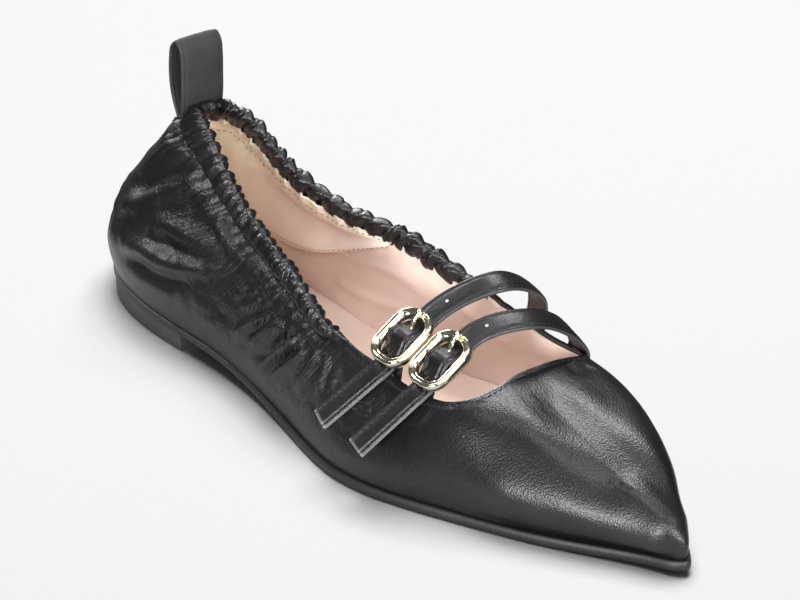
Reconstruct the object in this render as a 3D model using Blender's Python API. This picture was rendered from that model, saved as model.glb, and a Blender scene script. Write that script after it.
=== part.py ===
"""Pointed ballet flat for the right foot: gathered collar, heel loop and two buckled instep straps."""

import math

import bpy
import numpy as np

MM = 0.001

# Driving sizes, in millimetres
SOLE_LENGTH = 265.0
BALL_WIDTH = 77.0
COLLAR_HEIGHT = 70.0
HEEL_CENTRE = 31.0
HEEL_LENGTH = 62.0
HEEL_BACK_HEIGHT = 7.4
HEEL_BREAST_HEIGHT = 5.6
TREAD_START = 132.0
TREAD_END = 205.0
TOE_SPRING = 2.0
SOLE_EDGE = 3.3
WAIST_EDGE = 2.6
SOLE_BEVEL = 0.7
WELT = 1.4
WALL = 1.6
INSOLE = 2.1
GAP = 0.3

BAND_HEIGHT = 10.5
BAND_FRONT = 7.0
BAND_WIDTH = 4.8
BAND_END = 2.6
PUCKER_PITCH = 9.0
PUCKER_DEPTH = 0.13

STRAP_WIDTH = 8.4
TAIL_WIDTH = 7.4
STRAP_THICK = 1.6
BUCKLE_LENGTH = 19.8
BUCKLE_WIDTH = 14.5
BUCKLE_CORNER = 6.2
FRAME_WIDE = 2.8
FRAME_TALL = 3.0
BAR_RADIUS = 0.8
BAR_DROP = 0.7
PRONG_RADIUS = 0.75
HUMP_REACH = 6.4

LOOP_WIDTH = 16.0
LOOP_THICK = 1.3
BACKSTAY_WIDTH = 10.0
BACKSTAY_THICK = 1.0
CHAPE_WIDTH = 7.6
CHAPE_THICK = 1.2

RIB_STEPS = 3
RIB_LEVELS = 13
INSOLE_END = 1.3

# One row for each section of a side, from the back of the heel to the tip of the toe.
# station and top_station are in % of the sole length, edge and top_across in % of the ball width,
# medial positive, and the other columns in % of the collar height.
# wall and flare shape the rib where it leaves the sole, reach and drop where it meets the top edge.
SECTION_COLUMNS = (
    "station", "edge", "top_station", "top_across", "top_height", "wall", "flare", "reach", "drop",
)
LATERAL_SECTIONS = (
    (0.0, 3.9, 15.1, 0.0, 99.3, 24.0, 10.5, 38.0, 33.0),
    (1.5, -11.7, 15.5, -4.7, 99.9, 24.0, 11.0, 36.0, 33.0),
    (5.3, -24.7, 16.8, -8.0, 100.3, 25.0, 11.0, 31.0, 33.0),
    (12.1, -33.2, 20.2, -11.4, 97.0, 26.0, 10.5, 22.0, 32.0),
    (21.1, -35.8, 25.8, -15.4, 83.0, 25.0, 10.0, 13.0, 26.0),
    (31.7, -35.8, 33.8, -21.5, 73.0, 22.0, 9.0, 9.0, 22.0),
    (42.3, -40.3, 42.6, -29.2, 68.0, 19.0, 6.5, 6.0, 21.0),
    (52.1, -48.3, 51.5, -34.5, 57.0, 17.0, 4.0, 5.0, 19.0),
    (60.4, -51.8, 59.2, -34.6, 51.0, 18.0, 3.0, 4.5, 17.0),
    (68.7, -45.7, 66.4, -34.3, 48.1, 19.0, 3.0, 4.5, 16.0),
    (77.0, -34.8, 71.5, -30.3, 48.6, 24.0, 3.0, 13.0, 5.0),
    (85.3, -22.3, 73.3, -18.8, 51.1, 27.0, 2.5, 30.0, 5.0),
    (94.0, -6.3, 73.2, -7.8, 52.9, 26.0, 2.5, 56.0, 11.0),
    (98.3, 0.0, 72.9, -2.1, 53.3, 19.0, 3.5, 72.0, 15.0),
    (99.5, 4.9, 72.8, 1.6, 53.4, 17.0, 5.5, 75.0, 16.0),
)
MEDIAL_SECTIONS = (
    LATERAL_SECTIONS[0],
    (1.5, 19.5, 15.5, 4.7, 99.5, 24.0, 10.0, 38.0, 33.0),
    (5.3, 31.2, 16.8, 8.2, 99.5, 25.0, 9.0, 32.0, 33.0),
    (12.1, 34.4, 20.2, 12.2, 94.0, 26.0, 8.5, 20.0, 32.0),
    (21.1, 30.0, 25.8, 17.2, 78.0, 24.0, 9.0, 11.0, 26.0),
    (31.7, 27.5, 33.8, 25.0, 68.0, 22.0, 10.0, 7.0, 22.0),
    (42.3, 31.0, 42.6, 32.6, 64.0, 20.0, 8.0, 4.0, 21.0),
    (52.1, 39.6, 51.5, 36.8, 54.5, 18.0, 5.0, 3.0, 19.0),
    (60.4, 48.1, 59.2, 36.0, 50.4, 19.0, 3.0, 3.5, 17.0),
    (68.7, 47.9, 66.4, 35.5, 48.1, 24.0, 3.5, 4.5, 14.0),
    (77.0, 41.6, 71.7, 34.6, 48.8, 36.0, 4.5, 10.0, 4.0),
    (85.3, 33.4, 72.3, 24.0, 51.1, 43.0, 5.5, 32.0, 4.0),
    (94.0, 19.2, 72.6, 13.0, 52.9, 36.0, 6.0, 58.0, 10.0),
    (98.3, 9.8, 72.7, 5.8, 53.3, 22.0, 5.5, 73.0, 15.0),
    LATERAL_SECTIONS[-1],
)
SECTION_SIZES = (SOLE_LENGTH, BALL_WIDTH, SOLE_LENGTH, BALL_WIDTH) + (COLLAR_HEIGHT,) * 5
TOE = len(LATERAL_SECTIONS) - 1
ROUND = 2 * TOE

# One row for each strap: the stations where it stands on the medial sole edge and crosses the top edge,
# where its elastic is sewn inside the lateral wall, and then points of station, across and height:
# the crest and the medial shoulder of its free span, the middle of its buckle, and the end of its tail.
STRAP_COLUMNS = ("name", "medial_foot", "medial_top", "chape_top", "crest", "shoulder", "buckle", "tail")
STRAPS = (
    (
        "rear", 145.0, 166.0, 164.0,
        (175.5, 8.0, 58.0), (173.0, 22.0, 49.5), (166.8, -22.6, 45.6), (155.6, -44.3, 21.2),
    ),
    (
        "front", 163.0, 186.0, 178.0,
        (188.0, 8.0, 50.6), (187.5, 21.0, 43.8), (182.2, -20.8, 43.8), (172.7, -44.3, 19.0),
    ),
)
BUCKLE_SLOPE = (-0.03, -0.83, -0.55)
BUCKLE_TILT = 0.2
STRAP_TILT = 0.35

# Side view of the heel loop, as rows of station and height
LOOP_ROWS = (
    (37.3, 70.6), (38.0, 78.0), (38.0, 84.0), (37.2, 88.4), (35.2, 90.2),
    (33.0, 88.6), (31.8, 84.0), (31.7, 77.5), (32.2, 71.5), (33.0, 67.6),
)


def section_loop():
    """The section rows once round the shoe: back of the heel, lateral side, toe, medial side."""
    rows = LATERAL_SECTIONS + MEDIAL_SECTIONS[TOE - 1:0:-1]
    return np.array(rows) * SECTION_SIZES / 100


def spline_weights(t):
    """Weights of the four neighbours on a uniform cubic B-spline."""
    return (
        (1 - t) ** 3 / 6,
        (3 * t ** 3 - 6 * t ** 2 + 4) / 6,
        (-3 * t ** 3 + 3 * t ** 2 + 3 * t + 1) / 6,
        t ** 3 / 6,
    )


def spline_control(rows):
    """Control rows of the closed spline that passes through the rows."""
    same = np.eye(len(rows))
    near = np.roll(same, 1, axis=0) + np.roll(same, -1, axis=0)
    return np.linalg.solve((4 * same + near) / 6, rows)


CONTROL = spline_control(section_loop())


def sections(place):
    """The section columns at these places round the shoe, in row units from the back of the heel."""
    place = np.asarray(place, float)
    row = np.floor(place).astype(int)
    weights = spline_weights((place - row)[..., None])
    return sum(weight * CONTROL[(row + step - 1) % ROUND] for step, weight in enumerate(weights))


def outline(place, inset):
    """Plan of the sole edge moved inwards, as rows of station and across."""
    small = 1e-3
    along = sections(np.asarray(place) + small)[..., :2] - sections(np.asarray(place) - small)[..., :2]
    along /= np.linalg.norm(along, axis=-1, keepdims=True)
    inward = np.stack([-along[..., 1], along[..., 0]], -1)
    return sections(place)[..., :2] + inward * np.asarray(inset)[..., None]


def smooth(t):
    t = np.clip(t, 0.0, 1.0)
    return t * t * (3 - 2 * t)


def sole_rise(station):
    """Height of the outsole's lower face over the floor."""
    shank = HEEL_BREAST_HEIGHT * smooth((TREAD_START - station) / (TREAD_START - HEEL_LENGTH))
    seat = (HEEL_BACK_HEIGHT - HEEL_BREAST_HEIGHT) * np.clip(1 - station / HEEL_LENGTH, 0, None)
    spring = TOE_SPRING * np.clip((station - TREAD_END) / (SOLE_LENGTH - TREAD_END), 0, None) ** 2
    return shank + seat + spring


def sole_top(station):
    """Height of the outsole's upper face."""
    front = smooth((station - HEEL_LENGTH) / (TREAD_START - HEEL_LENGTH))
    return sole_rise(station) + WAIST_EDGE + (SOLE_EDGE - WAIST_EDGE) * front


def feather_inset(station):
    """How far the upper stands in from the sole edge: a narrow ledge round the front half only."""
    return 0.5 + (WELT - 0.5) * smooth((station - 90) / 45)


def skin(place, level):
    """Points of the upper's outer face: level 0 at the sole, 1 at the top edge."""
    place, level = np.broadcast_arrays(np.asarray(place, float), np.asarray(level, float))
    row = sections(place)
    plan = outline(place, feather_inset(row[..., 0]))
    outer = outline(place, feather_inset(row[..., 0]) - 1.0) - plan
    foot = np.concatenate([plan, (sole_top(plan[..., 0]) + GAP)[..., None]], -1)
    top = row[..., 2:5]
    down = foot[..., :2] - top[..., :2]
    down = down / np.linalg.norm(down, axis=-1, keepdims=True)
    wall, flare, reach, drop = (row[..., column, None] for column in (5, 6, 7, 8))
    low = foot + np.concatenate([outer * flare, wall], -1)
    high = top + np.concatenate([down * reach, -drop], -1)
    t = level[..., None]
    return (1 - t) ** 3 * foot + 3 * t * (1 - t) ** 2 * low + 3 * t * t * (1 - t) * high + t ** 3 * top


def skin_normal(place, level):
    """Outward unit normals of the upper's outer face."""
    small = 1e-3
    around = skin(np.asarray(place) + small, level) - skin(np.asarray(place) - small, level)
    rise = skin(place, np.asarray(level) + small) - skin(place, np.asarray(level) - small)
    normal = np.cross(around, rise)
    return normal / np.linalg.norm(normal, axis=-1, keepdims=True)


def place_of(station, side, top):
    """Place round the shoe of the rib with this station, at the sole or at the top edge."""
    places = np.linspace(0, TOE, 561) if side == "lateral" else np.linspace(ROUND, TOE, 561)
    return float(np.interp(station, sections(places % ROUND)[:, 2 if top else 0], places))


def lateral_wall(point):
    """Place and level on the lateral wall at the station and height of a point."""
    places, levels = np.meshgrid(np.linspace(6.0, 11.0, 301), np.linspace(0.1, 1.0, 181), indexing="ij")
    far = np.linalg.norm((skin(places, levels) - point)[..., (0, 2)], axis=-1)
    nearest = np.unravel_index(np.argmin(far), far.shape)
    return places[nearest], levels[nearest]


def band_height(place):
    """Height of the gathered band along the top edge; it runs out beside the rear strap."""
    station = sections(place)[..., 2]
    front = (BAND_HEIGHT - BAND_FRONT) * smooth((station - 50) / 60)
    return BAND_HEIGHT - front - (BAND_FRONT - BAND_END) * smooth((station - 118) / 26)


BAND_LATERAL = place_of(145.0, "lateral", True)
BAND_MEDIAL = place_of(145.0, "medial", True)


def level_below(place, distance):
    """Level on each rib at this distance under the top edge, measured along the rib."""
    levels = np.linspace(0, 1, 81)
    found = []
    for one, far in zip(np.atleast_1d(place), np.broadcast_to(distance, np.shape(np.atleast_1d(place)))):
        points = skin(np.full(81, one), levels)
        steps = np.linalg.norm(np.diff(points, axis=0), axis=1)
        under = np.concatenate([np.cumsum(steps[::-1])[::-1], [0.0]])
        found.append(np.interp(-far, -under, levels))
    return np.array(found)


def upper_top(place):
    """Level where the upper itself ends: under the band where there is one."""
    place = np.asarray(place) % ROUND
    banded = (place <= BAND_LATERAL) | (place >= BAND_MEDIAL)
    fade = np.minimum(np.abs(place - BAND_LATERAL), np.abs(place - BAND_MEDIAL))
    below = np.where(banded, band_height(place) + GAP, (BAND_END + GAP) * (1 - smooth(fade / 0.5)))
    return level_below(place, below)


def unit(vectors):
    return vectors / np.linalg.norm(vectors, axis=-1, keepdims=True)


def through(keys, spacing):
    """Points along a smooth open curve through the keys, at least two for each span."""
    keys = np.asarray(keys, float)
    steps = np.linalg.norm(np.diff(keys[:, :3], axis=0), axis=1)
    knots = np.concatenate([[0.0], np.cumsum(steps)])
    slope = np.gradient(keys, knots, axis=0)
    spans = np.maximum(np.round(steps / spacing).astype(int), 2)
    at = [np.linspace(knots[span], knots[span + 1], parts, False) for span, parts in enumerate(spans)]
    at = np.concatenate(at + [knots[-1:]])
    index = np.clip(np.searchsorted(knots, at, side="right") - 1, 0, len(keys) - 2)
    width = (knots[index + 1] - knots[index])[:, None]
    t = (at - knots[index])[:, None] / width
    start = (2 * t ** 3 - 3 * t * t + 1) * keys[index] + (t ** 3 - 2 * t * t + t) * width * slope[index]
    finish = (3 * t * t - 2 * t ** 3) * keys[index + 1] + (t ** 3 - t * t) * width * slope[index + 1]
    return start + finish


def add_object(name, points, faces, material):
    """A mesh object from points in millimetres, stationed from the back of the heel."""
    mesh = bpy.data.meshes.new(name)
    moved = (np.asarray(points, float) - (HEEL_CENTRE, 0.0, 0.0)) * MM
    mesh.from_pydata(moved.tolist(), [], faces)
    mesh.update()
    mesh.materials.append(material)
    obj = bpy.data.objects.new(name, mesh)
    bpy.context.scene.collection.objects.link(obj)
    return obj


def add_material(name, colour, roughness, metallic):
    material = bpy.data.materials.new(name)
    material.use_nodes = True
    shader = material.node_tree.nodes["Principled BSDF"]
    shader.inputs["Base Color"].default_value = (*colour, 1.0)
    shader.inputs["Roughness"].default_value = roughness
    shader.inputs["Metallic"].default_value = metallic
    return material


def sweep(rings, closed):
    """Points and faces of a skin over rings of points, capped at both ends unless it closes on itself."""
    rings = np.asarray(rings)
    count, sides = rings.shape[:2]
    faces = []
    for ring in range(count if closed else count - 1):
        first, second = ring * sides, (ring + 1) % count * sides
        for side in range(sides):
            after = (side + 1) % sides
            faces.append((first + side, first + after, second + after, second + side))
    if not closed:
        faces.append(tuple(range(sides))[::-1])
        faces.append(tuple(range((count - 1) * sides, count * sides)))
    return rings.reshape(-1, 3), faces


def plate(name, low, low_height, high, high_height, edge, material):
    """A thin body between two plans with the same number of points, lateral and medial rows in pairs."""
    count = len(low)
    half = count // 2
    layers = [np.column_stack([low, low_height])]
    layers += edge
    layers.append(np.column_stack([high, high_height]))
    points = np.concatenate(layers)
    faces = []
    for layer in range(len(layers) - 1):
        for index in range(count):
            after = (index + 1) % count
            start, end = layer * count, (layer + 1) * count
            faces.append((start + index, end + index, end + after, start + after))
    last = (len(layers) - 1) * count
    for index in range(half):
        near, far = index, index + 1
        cross_near, cross_far = (count - near) % count, count - far
        corners = [near, far, cross_far, cross_near]
        corners = list(dict.fromkeys(corners))
        faces.append(tuple(corners))
        faces.append(tuple(last + corner for corner in corners[::-1]))
    return add_object(name, points, faces, material)


def add_outsole(material):
    places = np.arange(0, ROUND, 1 / RIB_STEPS)
    low = outline(places, np.full(len(places), SOLE_BEVEL))
    edge = outline(places, np.zeros(len(places)))
    low_height = sole_rise(low[:, 0])
    lip = np.column_stack([edge, sole_rise(edge[:, 0]) + SOLE_BEVEL])
    return plate("outsole", low, low_height, edge, sole_top(edge[:, 0]), [lip], material)


def add_insole(material):
    """The board inside: it stops short of the toe's tip, where the walls meet."""
    lateral = np.arange(0, TOE - INSOLE_END, 1 / RIB_STEPS)
    places = np.concatenate([lateral, ROUND - lateral[:0:-1]])
    inset = feather_inset(sections(places)[:, 0]) + WALL + 0.5
    plan = outline(places, inset)
    floor = sole_top(plan[:, 0]) + GAP
    return plate("insole", plan, floor, plan, floor + INSOLE, [], material)


def add_heel(material):
    """The low heel block: the back of the sole's own outline, cut straight across at the breast."""
    breast = place_of(HEEL_LENGTH - 0.6, "lateral", False)
    across = place_of(HEEL_LENGTH - 0.6, "medial", False)
    lateral = np.linspace(0, breast, 15)[1:]
    medial = np.linspace(across, ROUND, 15)[:-1]
    places = np.concatenate([[0.0], lateral, medial])
    low = outline(places, np.full(len(places), 1.0))
    high = outline(places, np.full(len(places), 0.4))
    return plate(
        "heel", low, np.zeros(len(low)), high, sole_rise(high[:, 0]) - GAP, [], material
    )


def add_upper(material):
    """The leather upper: one open shell of the wall's thickness, from the feather edge to the top edge."""
    places = np.arange(0, ROUND, 1 / RIB_STEPS)
    tops = upper_top(places)
    levels = np.linspace(0, 1, RIB_LEVELS)
    grid = skin(places[:, None], levels[None, :] * tops[:, None])
    count = len(places)
    faces = []
    for rib in range(count):
        after = (rib + 1) % count
        for level in range(RIB_LEVELS - 1):
            near, far = rib * RIB_LEVELS + level, after * RIB_LEVELS + level
            faces.append((near, far, far + 1, near + 1))
    obj = add_object("upper", grid.reshape(-1, 3), faces, material)
    shell = obj.modifiers.new("wall", "SOLIDIFY")
    shell.thickness = WALL * MM
    shell.offset = -1.0
    return obj


def add_binding(material):
    """The gathered elastic band along the collar, puckered by its cord."""
    places = np.linspace(BAND_MEDIAL - ROUND, BAND_LATERAL, 1200)
    ridge = skin(places % ROUND, 1.0)
    run = np.concatenate([[0.0], np.cumsum(np.linalg.norm(np.diff(ridge, axis=0), axis=1))])
    lumps = round(run[-1] / PUCKER_PITCH)
    at = np.linspace(0, run[-1], 4 * lumps + 1)
    places = np.interp(at, run, places) % ROUND
    pucker = 1 + PUCKER_DEPTH * np.cos(2 * math.pi * lumps * at / run[-1])
    ends = smooth(np.minimum(at, run[-1] - at) / 22)
    tall = band_height(places)
    middle = level_below(places, tall / 2)
    normal = skin_normal(places, middle)
    rise = unit(skin(places, np.minimum(middle + 0.02, 1.0)) - skin(places, middle - 0.02))
    centre = skin(places, middle) - normal * WALL / 2
    thick = (WALL + 0.6 + (BAND_WIDTH - WALL - 0.6) * ends) * pucker
    rings = []
    for angle in np.arange(8) / 8 * 2 * math.pi:
        up = math.copysign(abs(math.sin(angle)) ** 0.8, math.sin(angle))
        out = math.copysign(abs(math.cos(angle)) ** 0.8, math.cos(angle))
        rings.append(centre + rise * (tall / 2 * up)[:, None] + normal * (thick / 2 * out)[:, None])
    points, faces = sweep(np.stack(rings, 1), False)
    return add_object("collar_binding", points, [face[::-1] for face in faces], material)


def buckle_frame(strap):
    """Middle of a buckle, with the directions along the strap, across it and out of it."""
    along = unit(np.array(BUCKLE_SLOPE))
    level = np.array((1.0, 0.0, -BUCKLE_TILT))
    across = unit(level - (level @ along) * along)
    return np.array(strap["buckle"]), along, across, np.cross(along, across)


def strap_path(strap):
    """Keys along a strap, each with the way it faces: up the medial side, over, through the buckle, down."""
    lift = GAP + 0.1 + STRAP_THICK / 2
    medial = np.linspace(0.12, 0.94, 7)
    foot, top = place_of(strap["medial_foot"], "medial", False), place_of(strap["medial_top"], "medial", True)
    places = foot + (top - foot) * medial
    facing = skin_normal(places, medial)
    keys = [np.concatenate([skin(places, medial) + facing * lift, facing], 1)]
    centre, along, across, out = buckle_frame(strap)
    under = -(FRAME_TALL / 2 + GAP + STRAP_THICK / 2)
    over = -BAR_DROP + BAR_RADIUS + GAP + STRAP_THICK / 2
    entry = centre - along * BUCKLE_LENGTH / 2 + out * under
    for point, before, after in (
        (strap["shoulder"], keys[0][-1, :3], strap["crest"]),
        (strap["crest"], strap["shoulder"], entry),
    ):
        way = unit(np.array(after) - np.array(before))
        up = np.array((STRAP_TILT, 0.0, 1.0))
        keys.append(np.concatenate([point, unit(up - (up @ way) * way)])[None])
    ends = BUCKLE_LENGTH / 2 + 0.5
    for step in (-ends, -HUMP_REACH, -HUMP_REACH / 2, 0.0, HUMP_REACH / 2, HUMP_REACH, ends):
        hump = (1 + math.cos(math.pi * min(abs(step) / HUMP_REACH, 1.0))) / 2
        point = centre + along * step + out * (under + (over - under) * hump)
        keys.append(np.concatenate([point, out])[None])
    leave = keys[-1][0, :3]
    for share in (0.2, 0.4, 0.6, 0.8, 1.0):
        point = leave + (np.array(strap["tail"]) - leave) * share
        place, level = lateral_wall(point)
        facing = unit(out + (skin_normal(place, level) - out) * share)
        touch = skin(place, level) + skin_normal(place, level) * lift
        point[1] = min(point[1], touch[1])
        keys.append(np.concatenate([point, facing])[None])
    return np.concatenate(keys)


def ribbon(path, width, thick):
    """Rings of a flat strip along a path of points and facings, with eased edges."""
    centre = path[:, :3]
    way = unit(np.gradient(centre, axis=0))
    across = unit(np.cross(path[:, 3:], way))
    facing = np.cross(way, across)
    half = np.broadcast_to(width / 2, len(path))[:, None]
    deep = thick / 2
    ease = thick * 0.3
    corners = (
        (half - ease, -deep), (half, ease - deep), (half, deep - ease), (half - ease, deep),
        (ease - half, deep), (-half, deep - ease), (-half, ease - deep), (ease - half, -deep),
    )
    return np.stack([centre + across * x + facing * z for x, z in corners], 1)


def hide_cutter(obj):
    obj.hide_render = True
    obj.display_type = "WIRE"


def combine(obj, other, operation):
    joined = obj.modifiers.new(other.name, "BOOLEAN")
    joined.operation = operation
    joined.solver = "EXACT"
    joined.object = other
    hide_cutter(other)


def rod(name, path, radius, sides, material):
    """A round bar along a path of points."""
    path = np.asarray(path, float)
    way = unit(np.gradient(path, axis=0))
    first = unit(np.cross(way, np.broadcast_to((1.0, 0.0, 0.0), way.shape) + (0, 0.01, 0.02)))
    second = np.cross(way, first)
    radius = np.broadcast_to(radius, len(path))[:, None]
    angles = np.arange(sides) / sides * 2 * math.pi
    rings = np.stack([path + radius * (first * math.cos(a) + second * math.sin(a)) for a in angles], 1)
    points, faces = sweep(rings, False)
    return add_object(name, points, faces, material)


def prong_line(strap, clearance):
    """The prong: from the bar, up through the strap's hole and onto the frame's medial end."""
    centre, along, across, out = buckle_frame(strap)
    start = centre - along * 1.8 - out * BAR_DROP
    rest = centre - along * (BUCKLE_LENGTH / 2 - FRAME_WIDE / 2) + out * (FRAME_TALL / 2 + GAP + PRONG_RADIUS)
    tip = rest - along * 0.9
    shares = np.array([0.0, 0.45, 0.8, 1.0])
    bow = np.array([0.0, 0.5, 0.7, 0.0])
    line = start + (rest - start) * shares[:, None] + out * bow[:, None]
    line = np.concatenate([line, tip[None]])
    if clearance:
        line = line[:4] + (line[:4] - line[0]) * 0.02
    return line


def add_straps(leather, metal, elastic):
    for row in STRAPS:
        strap = dict(zip(STRAP_COLUMNS, row))
        name = strap["name"]
        path = through(strap_path(strap), 4.0)
        centre, along, _, _ = buckle_frame(strap)
        tail = smooth((path[:, :3] - centre) @ along / 14)
        width = STRAP_WIDTH + (TAIL_WIDTH - STRAP_WIDTH) * tail
        points, faces = sweep(ribbon(path, width, STRAP_THICK), False)
        ribbon_object = add_object("strap_" + name, points, faces, leather)
        cutter = rod("hole_" + name, prong_line(strap, True), PRONG_RADIUS + 0.35, 8, leather)
        combine(ribbon_object, cutter, "DIFFERENCE")
        add_buckle(strap, metal)
        rod("prong_" + name, prong_line(strap, False), PRONG_RADIUS * np.array([1, 1, 1, 1, 0.7]), 8, metal)
        add_chape(strap, elastic)


def add_buckle(strap, metal):
    """A rounded frame with a bar across its middle."""
    centre, along, across, out = buckle_frame(strap)
    long_half = (BUCKLE_LENGTH - FRAME_WIDE) / 2
    wide_half = (BUCKLE_WIDTH - FRAME_WIDE) / 2
    round_corner = BUCKLE_CORNER - FRAME_WIDE / 2
    rings = []
    for corner, (x_sign, y_sign) in enumerate(((1, 1), (-1, 1), (-1, -1), (1, -1))):
        for turn in np.linspace(0, math.pi / 2, 6):
            angle = corner * math.pi / 2 + turn
            way = np.cos(angle) * along + np.sin(angle) * across
            corner_centre = centre + along * x_sign * (long_half - round_corner)
            corner_centre = corner_centre + across * y_sign * (wide_half - round_corner)
            middle = corner_centre + way * round_corner
            around = np.arange(8) / 8 * 2 * math.pi
            rings.append([
                middle + way * FRAME_WIDE / 2 * math.cos(a) + out * FRAME_TALL / 2 * math.sin(a) for a in around
            ])
    points, faces = sweep(np.array(rings), True)
    frame = add_object("buckle_" + strap["name"], points, faces, metal)
    ends = [centre - out * BAR_DROP + across * wide_half * side for side in (-1, -0.3, 0.3, 1)]
    bar = rod("bar_" + strap["name"], ends, BAR_RADIUS, 8, metal)
    combine(frame, bar, "UNION")


def add_chape(strap, elastic):
    """Short elastic from under the buckle's bar down the inside of the lateral wall."""
    centre, along, across, out = buckle_frame(strap)
    top = place_of(strap["chape_top"], "lateral", True)
    levels = np.array([0.95, 0.84, 0.72, 0.6])
    facing = skin_normal(np.full(4, top), levels)
    inside = skin(np.full(4, top), levels) - facing * (WALL + 0.8 + CHAPE_THICK / 2)
    start = centre - out * (BAR_DROP + BAR_RADIUS + GAP + 0.1 + CHAPE_THICK / 2)
    bar_keys = [np.concatenate([start + along * step, out]) for step in (-1.5, 1.5)]
    wall_keys = np.concatenate([inside, facing], 1)
    path = through(np.concatenate([bar_keys, wall_keys]), 4.0)
    points, faces = sweep(ribbon(path, CHAPE_WIDTH, CHAPE_THICK), False)
    add_object("chape_" + strap["name"], points, faces, elastic)


def add_loop(leather):
    """The finger loop that stands on the back of the collar."""
    side_view = np.array([(station, 0.0, height) for station, height in LOOP_ROWS])
    path = through(side_view, 3.0)
    way = unit(np.gradient(path, axis=0))
    facing = np.cross(np.broadcast_to((0.0, 1.0, 0.0), way.shape), way)
    points, faces = sweep(ribbon(np.concatenate([path, facing], 1), LOOP_WIDTH, LOOP_THICK), False)
    add_object("pull_loop", points, faces, leather)


def add_backstay(leather):
    """The strip over the back seam, laid on the upper from under the band down to the sole."""
    levels = np.linspace(0.05, 1.0, 13) * (upper_top(np.array([0.0]))[0] - 0.02)
    rows = []
    for share in np.linspace(-0.5, 0.5, 6):
        row = []
        for level in levels:
            places = np.linspace(-2.2, 2.2, 45)
            line = skin(places % ROUND, level)
            run = np.concatenate([[0.0], np.cumsum(np.linalg.norm(np.diff(line, axis=0), axis=1))])
            row.append(np.interp(share * BACKSTAY_WIDTH, run - run[22], places))
        rows.append(row)
    places = np.array(rows) % ROUND
    levels = np.broadcast_to(levels, places.shape)
    inner = skin(places, levels) + skin_normal(places, levels) * GAP
    outer = inner + skin_normal(places, levels) * BACKSTAY_THICK
    rings = np.concatenate([inner.transpose(1, 0, 2), outer.transpose(1, 0, 2)[:, ::-1]], 1)
    points, faces = sweep(rings, False)
    add_object("backstay", points, faces, leather)


def face_outwards():
    """Turns each body's faces outwards, by the sign of its volume."""
    for obj in bpy.context.scene.collection.objects:
        if obj.modifiers and obj.modifiers[0].type == "SOLIDIFY":
            continue
        mesh = obj.data
        mesh.calc_loop_triangles()
        volume = 0.0
        for triangle in mesh.loop_triangles:
            a, b, c = (mesh.vertices[index].co for index in triangle.vertices)
            volume += a.dot(b.cross(c))
        if volume < 0:
            mesh.flip_normals()


def build():
    for obj in list(bpy.data.objects):
        bpy.data.objects.remove(obj)
    leather = add_material("black_leather", (0.012, 0.012, 0.014), 0.42, 0.0)
    glossy = add_material("black_binding", (0.01, 0.01, 0.012), 0.32, 0.0)
    sole = add_material("sole_rubber", (0.03, 0.03, 0.032), 0.7, 0.0)
    lining = add_material("blush_lining", (0.72, 0.5, 0.43), 0.6, 0.0)
    metal = add_material("pale_gold_metal", (0.83, 0.74, 0.5), 0.18, 1.0)
    elastic = add_material("black_elastic", (0.014, 0.014, 0.015), 0.8, 0.0)
    add_outsole(sole)
    add_heel(sole)
    add_insole(lining)
    add_upper(leather)
    add_binding(glossy)
    add_straps(leather, metal, elastic)
    add_loop(leather)
    add_backstay(leather)
    face_outwards()


build()
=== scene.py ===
"""Looks of a pointed ballet flat for the right foot: black leather, gathered collar, two buckled straps."""

import math

import bpy
import numpy as np
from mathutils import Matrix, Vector


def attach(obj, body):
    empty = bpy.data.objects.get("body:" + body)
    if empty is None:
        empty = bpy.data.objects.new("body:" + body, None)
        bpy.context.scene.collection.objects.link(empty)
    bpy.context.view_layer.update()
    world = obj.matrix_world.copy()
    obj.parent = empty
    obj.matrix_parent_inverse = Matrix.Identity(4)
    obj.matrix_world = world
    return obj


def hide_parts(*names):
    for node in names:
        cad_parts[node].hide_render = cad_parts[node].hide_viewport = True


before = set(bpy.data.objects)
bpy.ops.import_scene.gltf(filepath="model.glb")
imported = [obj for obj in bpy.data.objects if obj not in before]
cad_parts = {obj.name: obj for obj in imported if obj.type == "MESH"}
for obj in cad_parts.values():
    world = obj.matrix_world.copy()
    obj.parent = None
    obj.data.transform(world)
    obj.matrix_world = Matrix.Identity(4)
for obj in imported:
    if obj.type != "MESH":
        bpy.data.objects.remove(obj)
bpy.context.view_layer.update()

MM = 0.001

# Sizes of the shoe, in millimetres
SOLE_LENGTH = 265.0
BALL_WIDTH = 77.0
COLLAR_HEIGHT = 70.0
HEEL_CENTRE = 31.0
HEEL_LENGTH = 62.0
HEEL_BACK_HEIGHT = 7.4
HEEL_BREAST_HEIGHT = 5.6
TREAD_START = 132.0
TREAD_END = 205.0
TOE_SPRING = 2.0
SOLE_EDGE = 3.3
WAIST_EDGE = 2.6
WELT = 1.4
HEEL_WELT = 0.5
WALL = 1.6
INSOLE = 2.1
GAP = 0.3
LEATHER = 0.9
HEEL_LINING = 0.8
HEM_WIDTH = 2.6
HEM_LIFT = 0.28

BAND_STATION = 145.0
BAND_HEIGHT = 10.5
BAND_FRONT = 7.0
BAND_WIDTH = 4.8
BAND_END = 2.6
PITCH_LATERAL = 5.8
PITCH_FRONT = 4.0
PITCH_MEDIAL = 6.6
GATHER_LIFT = 1.9

STRAP_WIDTH = 8.4
TAIL_WIDTH = 7.4
STRAP_THICK = 1.6
BUCKLE_LENGTH = 19.8
BUCKLE_WIDTH = 14.5
BUCKLE_CORNER = 6.2
FRAME_WIDE = 2.8
FRAME_TALL = 3.0
BAR_RADIUS = 0.8
BAR_DROP = 0.7
PRONG_RADIUS = 0.75
HUMP_REACH = 6.4
HOLE_REACH = 7.0

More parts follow.
